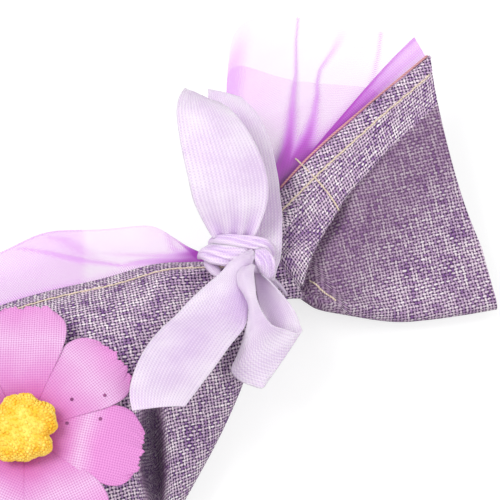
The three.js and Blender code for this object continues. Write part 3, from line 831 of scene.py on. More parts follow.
def muslin_finish():
    """Cream muslin in an open plain weave."""
    f = Finish("muslin")
    over, height, warp_tone, weft_tone = woven(f, MUSLIN_YARN, MUSLIN_STRAY)
    tone = f.sums("MULTIPLY", height, f.level(over, warp_tone, weft_tone))
    base = f.ramp(tone, (0.1, colour(190, 176, 150)), (0.6, colour(240, 232, 214)))
    f.set(Base_Color=base, Roughness=0.95)
    f.bump(height, 0.4, 0.15)
    return f.material


linen = linen_finish()
organza = organza_finish()
satin = satin_finish()
petal_cloth = petal_finish()
muslin = muslin_finish()
felt = mottled_finish("felt", colour(168, 84, 150), colour(200, 116, 182), 900, 0.95)
pollen = mottled_finish("pollen", colour(249, 196, 52), colour(253, 226, 108), 420, 0.7)
buds = mottled_finish("dried_buds", colour(84, 70, 112), colour(140, 122, 160), 500, 0.95)
speck = mottled_finish("speck", colour(122, 58, 110), colour(150, 80, 132), 900, 0.8)
gold_thread = thread_finish("gold_thread", colour(206, 182, 156), colour(238, 224, 204))
coral_thread = thread_finish("coral_thread", colour(184, 112, 122), colour(222, 166, 168))


# Plan and heights of the cloth. s runs across from the fold (0) to the open hem (1), and on to the frill's
# edge (2). down is the distance below the neck's centre. t runs from the neck (0) to the mouth's end (1).

def fullness(s):
    """How full the pillow is across: nothing at the fold, most in the middle, a little at the hem."""
    return np.sin(np.pi * SWELL_SPAN * np.clip(s, 0, 1)) ** FRONT_ROUNDNESS


def below_neck(down):
    """The distance below the neck's centre, held level over the band."""
    return np.maximum(down, NECK_STRAIGHT)


def body_half_width(down):
    """A quarter sine from the neck's half width to the body's, less a cubed drop at the bottom corners."""
    reach = (below_neck(down) - NECK_STRAIGHT) / (BODY_WIDEST - NECK_STRAIGHT)
    corner = np.clip((down - BODY_LENGTH + CORNER_ROUNDING) / CORNER_ROUNDING, 0, 1)
    swell = np.sin(np.pi / 2 * np.clip(reach, 0, 1))
    return lerp(NECK_WIDTH / 2, BODY_WIDTH / 2, swell) - CORNER_DROP * corner**3


def frill_width(down):
    """Springs from the neck as an exponential, swells once and tapers towards the bottom corner."""
    grown = FRILL_WIDTH * (1 - np.exp((NECK_STRAIGHT - below_neck(down)) / FRILL_RISE))
    grown = grown + FRILL_SWELL * bell(down - FRILL_SWELL_PLACE, FRILL_SWELL_SPREAD)
    taper = lerp(FRILL_END_SHARE, 1, smooth(BODY_LENGTH - down, 0, CORNER_ROUNDING))
    return FRILL_AT_NECK + grown * taper


def body_plan(s, down):
    """Across the panel in a straight line, and past the hem along the frill, which leans down the page
    beside the neck. The hem bulges and the fold is drawn in by a Gaussian each, and the fold flares above
    the neck by a square."""
    half = body_half_width(down)
    share = np.maximum(s - 1, 0)
    fade = np.exp((NECK_STRAIGHT - below_neck(down)) / FRILL_LAG_FADE)
    lag = FRILL_LAG * smooth(down, 0, NECK_STRAIGHT) * fade
    bulge = HEM_BULGE * bell(down - HEM_BULGE_PLACE, HEM_BULGE_SPREAD) * smooth(down, 0, HEM_BULGE_START)
    flare = NECK_FLARE * np.clip((FLARE_START - down) / (FLARE_START + NECK_STRAIGHT), 0, 1) ** 2
    fold = half + flare - FOLD_DRAW * bell(down - FOLD_DRAW_PLACE, FOLD_DRAW_SPREAD)
    across = lerp(fold, -half - bulge, np.minimum(s, 1))
    return across - (frill_width(down) - bulge) * share, -down - lag * share


def neck_front(s):
    """Height of the gathered neck's front: half the neck's height, by the fullness."""
    return NECK_CENTRE + SEAM_HALF + (NECK_HEIGHT / 2 - SEAM_HALF) * fullness(s)


def pleats(s, distance):
    """Gathers that radiate from the neck: a cosine across, strongest a little way out, with finer ones
    nearer in."""
    main = np.cos(2 * np.pi * PLEAT_COUNT * (s - 0.5))
    main = PLEAT_DEPTH * bell(distance - PLEAT_PLACE, PLEAT_SPREAD) * main
    fine = np.cos(2 * np.pi * FINE_PLEAT_COUNT * s + 1.1)
    fine = FINE_PLEAT_DEPTH * bell(distance - FINE_PLEAT_PLACE, FINE_PLEAT_SPREAD) * fine
    return (main + fine) * fullness(s)


def body_seam(down):
    """Height of the seam between front and back: it eases from the neck's centre down to the bottom end."""
    settled = lerp(NECK_CENTRE, SEAM_HEIGHT, smooth(down, NECK_STRAIGHT, BODY_WIDEST / 2))
    return lerp(settled, BOTTOM_HEIGHT / 2, smooth(down, CROWN_PLACE, BODY_LENGTH))


def body_crown(down):
    """A quarter sine up from the neck to the crown, and a quarter cosine down to the bottom end."""
    climb = np.sin(np.pi / 2 * np.clip((down - NECK_STRAIGHT) / (CROWN_PLACE - NECK_STRAIGHT), 0, 1))
    fall = np.cos(np.pi / 2 * np.clip((down - CROWN_PLACE) / (BODY_LENGTH - CROWN_PLACE), 0, 1))
    rising = lerp(neck_front(0.5), BODY_HEIGHT, climb**CLIMB_ROUNDNESS)
    falling = lerp(BOTTOM_HEIGHT, BODY_HEIGHT, np.maximum(fall, 0) ** FALL_ROUNDNESS)
    return np.where(down < CROWN_PLACE, rising, falling)


def body_front(s, down):
    """The seam, plus the crown's height above it by the fullness, plus the gathers."""
    seam = body_seam(down) + SEAM_HALF
    return seam + np.maximum(0, body_crown(down) - seam) * fullness(s) + pleats(s, below_neck(down))


def body_back(s, down):
    """Sags from the seam to the floor, where it lies flat."""
    seam = body_seam(down) - SEAM_HALF
    settled = smooth(down, NECK_STRAIGHT, BODY_WIDEST / 3)
    sag = lerp(NECK_HEIGHT / 2 - SEAM_HALF, seam + SEAM_HEIGHT / 2, settled)
    end = smooth(BODY_LENGTH - down, 0, CORNER_ROUNDING / 2)
    return np.maximum(0, seam - sag * end * fullness(s) ** BACK_ROUNDNESS - pleats(s, below_neck(down)))


def mouth_side(corner, start, roundness, t):
    """A side from the neck to a corner, bowed by a power of the way along."""
    return lerp(start, corner[0], t**roundness), lerp(NECK_STRAIGHT, corner[1], t)


def mouth_fold(t):
    """The side along the fold, which bulges beside the neck."""
    x, y = mouth_side(MOUTH_FOLD_CORNER, NECK_WIDTH / 2 + NECK_FLARE, MOUTH_FOLD_ROUNDNESS, t)
    return x + FOLD_BULGE * t / FOLD_BULGE_PLACE * np.exp(1 - t / FOLD_BULGE_PLACE), y


def mouth_hem(t):
    """The side along the open hem."""
    return mouth_side(MOUTH_HEM_CORNER, -NECK_WIDTH / 2, MOUTH_HEM_ROUNDNESS, t)


def mouth_plan(s, t):
    """Between the fold, the hem and the fan's side, each bowed from the neck. The linen's end is dented,
    and the fan's end bulges past a straight line."""
    fold, hem = mouth_fold(t), mouth_hem(t)
    fan_x = lerp(-NECK_WIDTH / 2 - FRILL_AT_NECK, FAN_CORNER[0], t)
    fan_y = lerp(NECK_STRAIGHT, FAN_CORNER[1], t**FAN_SIDE_BOW)
    inside, outside = np.clip(s, 0, 1), np.clip(s - 1, 0, 1)
    wave = np.sin(np.pi * MOUTH_DENT_WAVES * np.clip(1 - inside, 0, 1 / MOUTH_DENT_WAVES))
    dent = MOUTH_DENT * t**3 * wave
    rounded = quarter_round(outside, 0.1) * np.sqrt(1 - outside**10)
    bulge = (FAN_BULGE[0] + FAN_BULGE[1] * outside) * t**2 * rounded
    x = lerp(lerp(fold[0], hem[0], inside), fan_x, outside)
    y = lerp(lerp(fold[1], hem[1], inside), fan_y, outside)
    return x - MOUTH_DENT_LEAN * dent - FAN_BULGE_LEAN * bulge, y - dent + FAN_BULGE_LEAN * bulge


def mouth_width(t):
    """Straight distance from the hem to the fold."""
    fold, hem = mouth_fold(t), mouth_hem(t)
    return np.hypot(fold[0] - hem[0], fold[1] - hem[1])


def mouth_open(t):
    """How far the mouth has opened from the neck's section to its own."""
    return smooth(t, 0, MOUTH_OPEN_SHARE)


def mouth_height(s, t, neck, depth):
    """From the neck's height to the end's, which rises from the fold to the hem. Depth lowers the end."""
    end = lerp(MOUTH_FOLD_HEIGHT, MOUTH_HEM_HEIGHT, smooth(s, 0, MOUTH_TILT_SHARE)) - depth
    return lerp(neck, end, mouth_open(t))


def mouth_pleats(s, t):
    """The neck's gathers, running on into the mouth with a share of their depth."""
    return MOUTH_PLEAT_SHARE * pleats(s, lerp(NECK_STRAIGHT, MOUTH_HEM_CORNER[1], t))


def mouth_front(s, t):
    """Height of the mouth's front, with the gathers."""
    inside = np.minimum(s, 1)
    return mouth_height(inside, t, neck_front(inside), 0) + mouth_pleats(inside, t)


def mouth_back(s, t):
    """Height of the mouth's back: the front's mirror at the neck, and a depth below the front at the
    end."""
    inside = np.minimum(s, 1)
    neck = 2 * NECK_CENTRE - neck_front(inside)
    turned = 2 * mouth_open(t) - 1
    return mouth_height(inside, t, neck, MOUTH_DEPTH) + mouth_pleats(inside, t) * turned


def flap_edge(s, t):
    """Distance past the knife pleat's edge, measured from the hem towards the fold."""
    return (1 - s) * mouth_width(t) - np.interp(t, FLAP_PLACES, FLAP_WIDTHS)


def side_fold_strength(t):
    """The fold beside the other edge starts at the neck and dies out where the knife pleat eases."""
    return smooth(t, 0, SIDE_FOLD_START) * (1 - smooth(t, *FLAP_EASING))


def groove(s, t, spread=1):
    """The groove beside that fold: a Gaussian across, drifting away from the edge."""
    return bell(s * mouth_width(t) - GROOVE_PLACE - GROOVE_DRIFT * t, GROOVE_WIDTH * spread)


def flap(s, t):
    """The knife pleat: how far the cloth shifts from the hem towards the fold, and how far it rises.
    Beside the pleat's edge the cloth doubles back under itself, by a Gaussian's slope, and past it lies
    in a valley that fades as an exponential. A small second fold runs along the other edge near the neck,
    with a groove above it."""
    ease = 1 - FLAP_EASE * smooth(t, *FLAP_EASING)
    strength = smooth(t, 0, FLAP_START) * ease * (1 - smooth(t, *FLAP_END)) * (s <= 1)
    past = flap_edge(s, t) / FLAP_SOFTNESS
    shift = -FLAP_TUCK * FLAP_PEAK * past * np.exp(-(past**2))
    under = smooth(past, -1, 1)
    valley = under * np.exp(-np.maximum(past, 0) / VALLEY_LENGTH)
    rise = strength * (FLAP_LIFT * (1 - under) - FLAP_DROP * valley)
    ridge = SIDE_FOLD_RISE * bell(s * mouth_width(t) - SIDE_FOLD_PLACE, SIDE_FOLD_WIDTH)
    ridge = ridge - GROOVE_DEPTH * groove(s, t)
    return strength * shift, rise + side_fold_strength(t) * ridge


def under_flap(s, t):
    """Rise of the lining beside the knife pleat: it drops into the valley before it meets the tuck."""
    strength = smooth(t, 0, FLAP_START) * (1 - smooth(t, *FLAP_END)) * (s <= 1)
    past = flap_edge(s, t)
    valley = np.exp(-np.maximum(past, 0) / ((VALLEY_LENGTH + 1) * FLAP_SOFTNESS))
    drop = FLAP_DROP * strength * smooth(past, *LINING_DROP_EDGE) * valley
    beside = side_fold_strength(t) * (s <= 1)
    return -drop - LINING_GROOVE_DEPTH * beside * groove(s, t, LINING_SPREAD)


def jacket_points(front, s, downs, ts, inset=0.0):
    """One face of the jacket over a grid, body below and mouth above, moved inwards by inset. Slow waves,
    the furrow and the knife pleat are added to the plain heights. Inside the jacket the furrow is wider,
    and the lining drops beside the pleat without its tuck."""
    side = 1 if front else -1
    s, down, t = s[None, :], downs[:, None], ts[:, None]
    x, y = np.broadcast_arrays(*body_plan(s, down))
    heights = [body_front(s, down), body_back(s, down)]
    settle = smooth(down, *BODY_WAVES_NECK_EASE) * smooth(BODY_LENGTH - down, 0, BODY_WAVES_END_EASE)
    settle = settle * fullness(s)
    furrow = FURROW_DEPTH * near_lines(x, y, FURROW, 1 if inset == 0 else LINING_SPREAD)
    heights[0] = heights[0] + BODY_WAVES * undulation(x, y) * settle - furrow
    z = closed_edges(front, heights, s * 2 * body_half_width(down), BODY_LENGTH - down)
    body = np.stack([x, y, z], -1)
    x, y = mouth_plan(s, t)
    across, rise = flap(s, t) if inset == 0 else (0 * s * t, under_flap(s, t))
    fold, hem = np.stack(mouth_fold(t)), np.stack(mouth_hem(t))
    way = (fold - hem) / np.hypot(*(fold - hem))
    heights = [mouth_front(s, t), mouth_back(s, t)]
    wave = MOUTH_WAVES * undulation(MOUTH_WAVE_SCALE * x, MOUTH_WAVE_SCALE * y)
    wave = wave * smooth(t, *MOUTH_WAVES_EASE) * np.sin(np.pi * np.clip(s, 0, 1)) ** 0.5
    heights = [height + wave for height in heights]
    heights[0] = heights[0] + rise
    heights[1] = heights[1] + BACK_FOLLOWS * np.minimum(rise, 0)
    if front:
        x, y = x + way[0] * across, y + way[1] * across
    z = closed_edges(front, heights, s * mouth_width(t), np.full_like(t, BODY_LENGTH))
    mouth = np.stack(np.broadcast_arrays(x, y, z), -1)
    points = np.concatenate([body, mouth])
    points[..., 2] -= side * inset
    return points


def closed_edges(front, heights, from_fold, from_end):
    """Brings the front and the back together round the fold and the bottom end, on quarter circles."""
    top, bottom = np.broadcast_arrays(*heights)
    top, bottom = top.copy(), bottom.copy()
    for distance, half in (
        (from_fold, (top[:, :1] - bottom[:, :1]) / 2),
        (from_end, (top[:1] - bottom[:1]) / 2),
    ):
        half = np.maximum(half, EDGE_LEAST)
        drawn = half * (1 - quarter_round(distance, half + EDGE_EASE))
        top, bottom = top - drawn, bottom + drawn
    return top if front else bottom


BODY_ROWS = crowded(130, BODY_LENGTH, -NECK_STRAIGHT)
MOUTH_ROWS = crowded(95)[1:]
LINEN_COLUMNS = crowded(180)


def laid_flat(points, front):
    """The panel's points in plan, pushed outwards along rows, and along columns at the bottom end, by how
    much longer the slope is than its plan. In the furrow they are pushed towards its bottom by its depth,
    so that the weave keeps its size down both walls."""
    x, y = points[..., 0], points[..., 1]
    depth = FURROW_DEPTH * near_lines(x, y, FURROW) if front else 0 * x
    filled = points + depth[..., None] * np.array([0, 0, 1])
    plan = filled * np.array([1, 1, 0])
    sideways = steps_along(filled, 1) - steps_along(plan, 1)
    sideways = sideways - sideways[:, len(LINEN_COLUMNS) // 2][:, None]
    middle = len(BODY_ROWS) // 2
    endways = steps_along(filled, 0) - steps_along(plan, 0)
    endways = np.minimum(endways - endways[middle], 0)
    flat = points[..., :2] + sideways[..., None] * unit(points[:, -1:, :2] - points[:, :1, :2])
    flat = flat + endways[..., None] * unit(points[middle, :, :2] - points[0, :, :2])
    if front:
        step = 0.1
        beside = [near_lines(x + step, y, FURROW), near_lines(x, y + step, FURROW)]
        inward = np.stack(beside, -1) - near_lines(x, y, FURROW)[..., None]
        flat = flat + depth[..., None] * unit(inward)
    return flat


def linen_panel(front):
    """A panel of the jacket with a doubled hem along its open edge, rolled at the edge by a quarter circle
    and dimpled by a Gaussian where the stitches draw it in. The weave follows the hem beside the knife
    pleat, and the panel's own grain elsewhere. The mouth's cloth past the pleat is marked for a darker
    tint, partly the cloth's own and partly painted shade strongest at the pleat's edge, and the furrow for
    a nearly black painted shadow."""
    points = jacket_points(front, LINEN_COLUMNS, BODY_ROWS, MOUTH_ROWS)
    across = steps_along(points, 1)
    from_hem = across[:, -1:] - across
    out = grid_normals(points) * (-1 if front else 1)
    out = out * np.where(out[..., 2:] * (1 if front else -1) < 0, -1, 1)
    single = smooth(from_hem, HEM - HEM_STEP_EASE[0], HEM + HEM_STEP_EASE[1])
    doubled = HEM_STEP * (1 - single) * quarter_round(from_hem, HEM_STEP_ROUNDING)
    rolled = -HEM_ROLL * (1 - quarter_round(from_hem, HEM_ROLL_ROUNDING))
    dimple = -HEM_DIMPLE * bell(from_hem - HEM, HEM_DIMPLE_WIDTH)
    points = points + out * (doubled + rolled + dimple)[..., None]
    points[..., 2] = np.maximum(points[..., 2], 0.0)
    along = steps_along(points, 0)[:, -1:] + 0 * across
    uv = np.stack([from_hem, along], -1)
    past = flap_edge(LINEN_COLUMNS[None, :], MOUTH_ROWS[:, None])
    past = np.concatenate([np.full((len(BODY_ROWS), len(LINEN_COLUMNS)), FLAP_GRAIN - 1), past])
    turned = (past > 0) | (past < FLAP_GRAIN)
    turned_uv = laid_flat(points, front) @ np.array([GRAIN_ACROSS, GRAIN_ALONG]).T
    # Painted shade beside the knife pleat's edge over a darker tint of the cloth, fading further out
    fading = lerp(1, MOUTH_TINT_AND_PAINTED_SHADE_LEAST, smooth(past, *MOUTH_TINT_AND_PAINTED_SHADE_FADE))
    marks = smooth(past, *MOUTH_TINT_AND_PAINTED_SHADE_EDGE) * fading
    if front:
        # Painted shadow in the furrow beside the flower
        shaded = near_lines(points[..., 0], points[..., 1], FURROW, FURROW_PAINTED_SHADOW_SPREAD)
        marks = marks + FURROW_PAINTED_SHADOW * smooth(shaded, *FURROW_PAINTED_SHADOW_EDGE)
    return Patch(points, uv, marks, flip=front, turned_uv=turned_uv, turned=turned)


linen_front = make_piece("linen_front", [linen_panel(True)], linen, ["linen_front_panel"], LINEN)
linen_back = make_piece("linen_back", [linen_panel(False)], linen, ["linen_back_panel"], LINEN)


# Organza bag

def frill_middle(share, down):
    """Middle height of the frill beside the body, with soft puffs that grow towards its edge."""
    settle = smooth(down, NECK_STRAIGHT, BODY_WIDEST / 3)
    puff = np.sin(2 * np.pi * FRILL_PUFFS * down / BODY_LENGTH) * FRILL_PUFF_DEPTH
    return lerp(NECK_CENTRE, FRILL_HEIGHT, settle) + puff * share * settle


def fan_middle(share, t):
    """Middle height of the fan, from the neck's centre to a line between the hem and the fan's corner."""
    spread = lerp(MOUTH_HEM_HEIGHT - MOUTH_DEPTH / 2, FAN_HEIGHT, share)
    return lerp(NECK_CENTRE, spread, mouth_open(t))


def organza_sheet(front):
    """One sheet of the bag: inside the jacket it lines the linen, and past the hem the two sheets close
    into the frill along the body and the fan at the mouth, eased from the hem's height to the middle
    height. Creases rise as soft ridges. The mark is the density: most in the creases, at the neck and
    along seams."""
    side = 1 if front else -1
    inside = crowded(70, BAG_FOLD_PLACE, 1.0)
    outside = np.linspace(1, 2, 110)[1:]
    downs = crowded(150, BODY_LENGTH - BAG_END_CLEARANCE, -NECK_STRAIGHT)
    ts = crowded(110, 0, 1.0 if front else BACK_LAYER_END)[1:]
    lining = jacket_points(front, inside, downs, ts, LINEN + GAP)
    share = (outside - 1)[None, :]
    meeting = smooth(share, 0, FRILL_MEETING)
    edge = lining[:, -1:, 2]

    down = downs[:, None]
    x, y = np.broadcast_arrays(*body_plan(1 + share, down))
    crease = near_lines(x, y, FRILL_CREASES)
    pillow = FRILL_PILLOW * np.sin(np.pi * share) ** 0.8 * smooth(down, *FRILL_PILLOW_EASE)
    folded = (FRILL_CREASE_RISE if front else FRILL_CREASE_SINK) * crease
    middle = frill_middle(share, down) + side * (GAP / 2 + pillow + folded)
    body_frill = np.stack([x, y, lerp(edge[: len(downs)], middle, meeting)], -1)
    near_neck = np.exp(-(below_neck(down) - NECK_STRAIGHT) / FRILL_GATHER_FADE)
    seam = FRILL_HEM_DENSITY * bell(share, FRILL_HEM_SPREAD)
    seam = seam + FRILL_RIM_DENSITY * bell(share - 1, FRILL_RIM_SPREAD)
    beyond = FRILL_SHADE_PLACE[1] - y - FRILL_SHADE_SLOPE * (x - FRILL_SHADE_PLACE[0])
    lower = FRILL_SHADE * smooth(beyond, 0, FRILL_SHADE_EASE)
    body_gather = FRILL_GATHER * near_neck * (1 - FRILL_GATHER_THINS * share)
    body_gather = body_gather + seam + lower + (crease if front else 0)

    t = ts[:, None] * (1 if front else 1 + BACK_LAYER_CORNER * share**4)
    x, y = mouth_plan(1 + share, t)
    crease = near_lines(x, y, FAN_CREASES)
    ridge = FAN_RIDGE * np.minimum(crease, FAN_RIDGE_FULL) / FAN_RIDGE_FULL
    middle = fan_middle(share, t) + side * GAP / 2 + (ridge if front else -FAN_BACK_RIDGE * ridge)
    fan = np.stack(np.broadcast_arrays(x, y, lerp(edge[len(downs):], middle, meeting)), -1)
    edging = FAN_EDGE_DENSITY * smooth(share, *FAN_EDGE_EASE) if front else 0
    seam = FAN_SIDE_DENSITY * smooth(share, 0.5, 1) + edging
    seam = seam * (1 - FAN_END_LOSS * smooth(t, *FAN_END_EASE))
    along_hem = FAN_HEM_DENSITY * bell(share, FAN_HEM_SPREAD) * (1 - smooth(t, *FAN_HEM_FADE))
    base = FAN_GATHER * bell(t, FAN_GATHER_SPREAD) + along_hem
    fan_gather = base + seam + (crease if front else FAN_BACK_DENSITY)

    points = np.concatenate([lining, np.concatenate([body_frill, fan])], axis=1)
    gather = np.clip(np.concatenate([body_gather, fan_gather]), 0, 1)
    marks = np.concatenate([np.repeat(gather[:, :1], len(inside), axis=1), gather], axis=1)
    return Patch(points, None, marks, flip=front)


def selvage_strip():
    """A flat fold of organza that lies along the mouth's hem, between front and back, and widens towards
    the end. It is densest near the neck, along its outer edge and along its middle."""
    t = np.linspace(*SELVAGE_SPAN, 70)[:, None]
    reach = np.linspace(0, 1, 14)[None, :]
    x, y = mouth_plan(np.ones_like(t), t)
    width = lerp(*SELVAGE_WIDTHS, smooth(t, *SELVAGE_WIDENING))
    z = (mouth_front(np.ones_like(t), t) + mouth_back(np.ones_like(t), t)) / 2
    x = x + SELVAGE_TUCK - (width + SELVAGE_TUCK) * reach
    y = y + SELVAGE_LEAN * width * reach
    z = z + SELVAGE_LIFT + SELVAGE_SLOPE * reach
    points = np.stack(np.broadcast_arrays(x, y, z), -1)
    marks = lerp(*SELVAGE_DENSITIES, smooth(t, *SELVAGE_DENSITY_FADE))
    marks = marks + SELVAGE_EDGE_DENSITY * bell(reach - 0.97, 0.09)
    marks = marks + SELVAGE_MIDDLE_DENSITY * bell(reach - 0.5, 0.1)
    return Patch(points, None, marks, flip=True)


organza_front = make_piece(
    "organza_front", [organza_sheet(True)], organza, ["organza_front_sheet"]
)
organza_back = make_piece(
    "organza_back", [organza_sheet(False)], organza, ["organza_back_sheet"]
)
organza_selvage = make_piece("organza_selvage", [selvage_strip()], organza)


# Inner sachet and its filling

NO_ROWS = np.zeros(0)


def muslin_half(top):
    """Half of the inner sachet: it follows the jacket inside the bag, and eases to the seam's height at
    its rim and ends by a square root."""
    s = np.linspace(SACHET_SIDE, 1 - SACHET_SIDE, 40)
    downs = np.linspace(BODY_LENGTH - SACHET_END_CLEARANCE - 9, SACHET_NECK_CLEARANCE + 4, 60)
    points = jacket_points(top, s, downs, NO_ROWS, LINING_INSET)
    rim = np.minimum((s - s[0]) * (s[-1] - s), SACHET_RIM)[None, :] / SACHET_RIM
    ends = smooth(downs, downs[-1], downs[-1] + SACHET_ROUNDING)
    ends = ends * smooth(-downs, -downs[0], -downs[0] + SACHET_ROUNDING)
    seam = body_seam(downs)[:, None] + (SACHET_EDGE if top else -SACHET_EDGE)
    points[..., 2] = lerp(seam, points[..., 2], np.sqrt(rim * ends[:, None]))
    return Patch(points, None, None, flip=top)


sachet_top = make_piece("muslin_top", [muslin_half(True)], muslin, ["inner_sachet_top"], MUSLIN)
sachet_bottom = make_piece(
    "muslin_bottom", [muslin_half(False)], muslin, ["inner_sachet_bottom"], MUSLIN
)


def ball(columns=8, rows=6):
    """A unit sphere as a grid of rows from pole to pole."""
    turn = np.linspace(0, 2 * np.pi, columns + 1)[None, :]
    tilt = np.linspace(0, np.pi, rows)[:, None]
    x, y = np.sin(tilt) * np.cos(turn), np.sin(tilt) * np.sin(turn)
    return np.stack(np.broadcast_arrays(x, y, np.cos(tilt)), -1)


def bud_mass():
    """The heap of dried buds: two faces inside the sachet that close at the rim on quarter circles, with
    buds lying all over the upper one. A bud is a stretched ball, each turned on from the last."""
    s = np.linspace(SACHET_SIDE + 0.05, 1 - SACHET_SIDE - 0.05, 30)
    downs = np.linspace(BODY_LENGTH - SACHET_END_CLEARANCE - 16, SACHET_NECK_CLEARANCE + 11, 44)
    inset = LINING_INSET + MUSLIN + BUD_ROOM
    top = jacket_points(True, s, downs, NO_ROWS, inset)
    bottom = jacket_points(False, s, downs, NO_ROWS, inset)
    middle = (top[..., 2] + bottom[..., 2]) / 2
    across = quarter_round(np.minimum(s - s[0], s[-1] - s), 0.12)[None, :]
    ends = quarter_round(np.minimum(downs[0] - downs, downs - downs[-1]), 14)[:, None]
    for face in (top, bottom):
        face[..., 2] = lerp(middle, face[..., 2], across * ends)
    grid = top[3:-3:2, 3:-3:2].reshape(-1, 3)
    turn = (np.arange(len(grid)) * BUD_TURN)[:, None, None]
    shape = ball() * np.array(BUD_SHAPE)
    x = shape[None, ..., 0] * np.cos(turn) - shape[None, ..., 1] * np.sin(turn)
    y = shape[None, ..., 0] * np.sin(turn) + shape[None, ..., 1] * np.cos(turn)
    each = np.stack([x, y, np.broadcast_to(shape[..., 2], x.shape)], -1) + grid[:, None, None, :]
    return [Patch(top, flip=True), Patch(bottom), *[Patch(bud, flip=True) for bud in each]]


fill = make_piece("lavender_buds", bud_mass(), buds, ["lavender_fill"], closed=True)


# Satin ribbon and bow. Bow stations are millimetres to the right, up the page and above the knot's centre,
# on a page turned with the bow.

def on_bow(stations):
    """Places of bow stations: the knot's centre plus each distance along its own direction."""
    p = np.asarray(stations, float)
    return KNOT + p[:, :1] * BOW_RIGHT + p[:, 1:2] * BOW_UP + p[:, 2:] * np.array([0, 0, 1])


def ribbon_strip(left, right, swell, gathers=(), dusk=(), rows=140, columns=32):
    """Ribbon between two edge curves. Each rung swells from a straight line by a half sine, both edges are
    a little thicker, and folds along the ribbon, a sine across, die out as an exponential away from the
    gathered ends. The hollows of the folds are marked for painted shade. Each painted shade, a place along,
    a place across and a strength, is a patch of deeper colour painted where the ribbon lies in shade."""
    a, b = through(on_bow(left), rows), through(on_bow(right), rows)
    v = np.linspace(0, 1, columns)[None, :, None]
    flat = lerp(a[:, None], b[:, None], v)
    out = grid_normals(flat)
    facing = 1 if out[: rows // 4, :, 2].mean() > 0 else -1
    u = np.linspace(0, 1, rows)
    lift = np.interp(u, np.linspace(0, 1, len(swell)), swell)[:, None, None] * np.sin(np.pi * v)
    drawn = [np.exp(-np.abs(u - place) / GATHER_LENGTH) for place in gathers]
    drawn = sum(drawn, np.zeros(rows))[:, None, None]
    wave = np.sin(2 * np.pi * GATHER_COUNT * v + 0.8)
    folds = GATHER_DEPTH * drawn * wave
    edges = RIBBON_EDGE * (bell(v, RIBBON_EDGE_WIDTH) + bell(1 - v, RIBBON_EDGE_WIDTH))
    points = flat + facing * out * (lift + folds + edges)
    along = steps_along(points[:, columns // 2][:, None], 0)
    uv = np.stack(np.broadcast_arrays(v[..., 0] * RIBBON_WIDTH, along), -1)
    # Painted shade in the hollows of the gathers and in each painted-shade patch
    marks = GATHER_PAINTED_SHADE * (drawn * (0.5 - 0.5 * wave))[..., 0]
    for place, side, strength in dusk:
        along_dusk, across_dusk = u[:, None] - place, v[..., 0] - side
        marks = marks + strength * bell(along_dusk, PAINTED_SHADE_LENGTH) * bell(across_dusk, PAINTED_SHADE_WIDTH)
    return Patch(points, uv, np.clip(marks, 0, 1), flip=facing < 0)


def swept(stations, widths, heights, creases=(), twist=0.0, rows=60, columns=64):
    """A soft roll of ribbon: an ellipse carried along a path and drawn in at both ends. Each crease, an
    angle round the roll and a place along it, is a short Gaussian furrow that winds by the twist and fades
    out. Each crease is also marked for painted shade."""
    centre = through(on_bow(stations), rows)
    u = np.linspace(0, 1, rows)
    ahead = unit(np.gradient(centre, axis=0))
    side = unit(np.cross(ahead, np.array([0, 0, 1.0])))
    rise = np.cross(side, ahead)
    turn = np.linspace(0, 2 * np.pi, columns + 1)
    ends = np.sqrt(np.clip(1 - np.abs(2 * u - 1) ** 8, 0, 1))
    knots = np.linspace(0, 1, len(widths))
    wide = (np.interp(u, knots, widths) / 2 * ends)[:, None, None]
    high = (np.interp(u, knots, heights) / 2 * ends)[:, None, None]
    valley = np.zeros((rows, columns + 1))
    for angle, place in creases:
        off = turn[None, :] - angle - twist * (u[:, None] - place)
        off = (off + np.pi) % (2 * np.pi) - np.pi
        valley = np.maximum(valley, bell(off, CREASE_WIDTH) * bell(u[:, None] - place, CREASE_LENGTH))
    across = wide * side[:, None] * np.cos(turn)[None, :, None]
    above = high * rise[:, None] * np.sin(turn)[None, :, None]
    points = centre[:, None] + (across + above) * (1 - CREASE_DEPTH * valley)[..., None]
    uv = np.stack(np.broadcast_arrays(turn[None, :] * ROLL_RADIUS, steps_along(centre[:, None], 0)), -1)
    # The creases are marked for painted shade
    return Patch(points, uv, CREASE_PAINTED_SHADE * valley, flip=True)


def ribbon_piece(name, **shape):
    """A strip of the bow, in place of the solid that bears its name."""
    return make_piece(name, [ribbon_strip(**shape)], satin, ["ribbon_" + name], RIBBON)


upper_loop = ribbon_piece(
    "upper_loop",
    left=[
        (-12.3, 5.1, 1.5), (-14.2, 7.5, 4), (-15.9, 10, 6.5), (-17.3, 12.9, 8.5), (-18.6, 18.1, 11),
        (-19.8, 23.1, 12.5), (-20.8, 28.4, 13.5), (-21.4, 33.8, 13.8), (-21.1, 37.9, 13),
        (-20.2, 41, 11.5), (-19.3, 42.9, 9.5), (-18.6, 41.5, 7), (-17.8, 36.2, 5), (-16.5, 28.5, 3.5),
        (-14.7, 19.4, 2), (-12.6, 11.5, 1), (-10.5, 5.1, 0),
    ],
    right=[
        (-1.8, 5.2, 2), (0.2, 9.4, 4.5), (1.4, 13, 6.5), (1.6, 17, 8.5), (0.7, 21, 10), (-1.1, 25.2, 11.5),
        (-3.3, 29.3, 12.5), (-5.8, 32.8, 13), (-8.5, 36, 12.5), (-11.2, 38.4, 11), (-13.7, 40.3, 8.5),
        (-11.2, 40.3, 6), (-6.6, 37.2, 4.2), (-3.5, 31.6, 2.8), (-1.2, 24.3, 1.6), (0, 16.4, 0.6),
        (-1, 5.7, 0),
    ],
    swell=[0.4, 1.4, 2.2, 2, 1.2, 0.3, 0.3, 0.6, 0.6, 0.3],
    gathers=(0, 1),
)
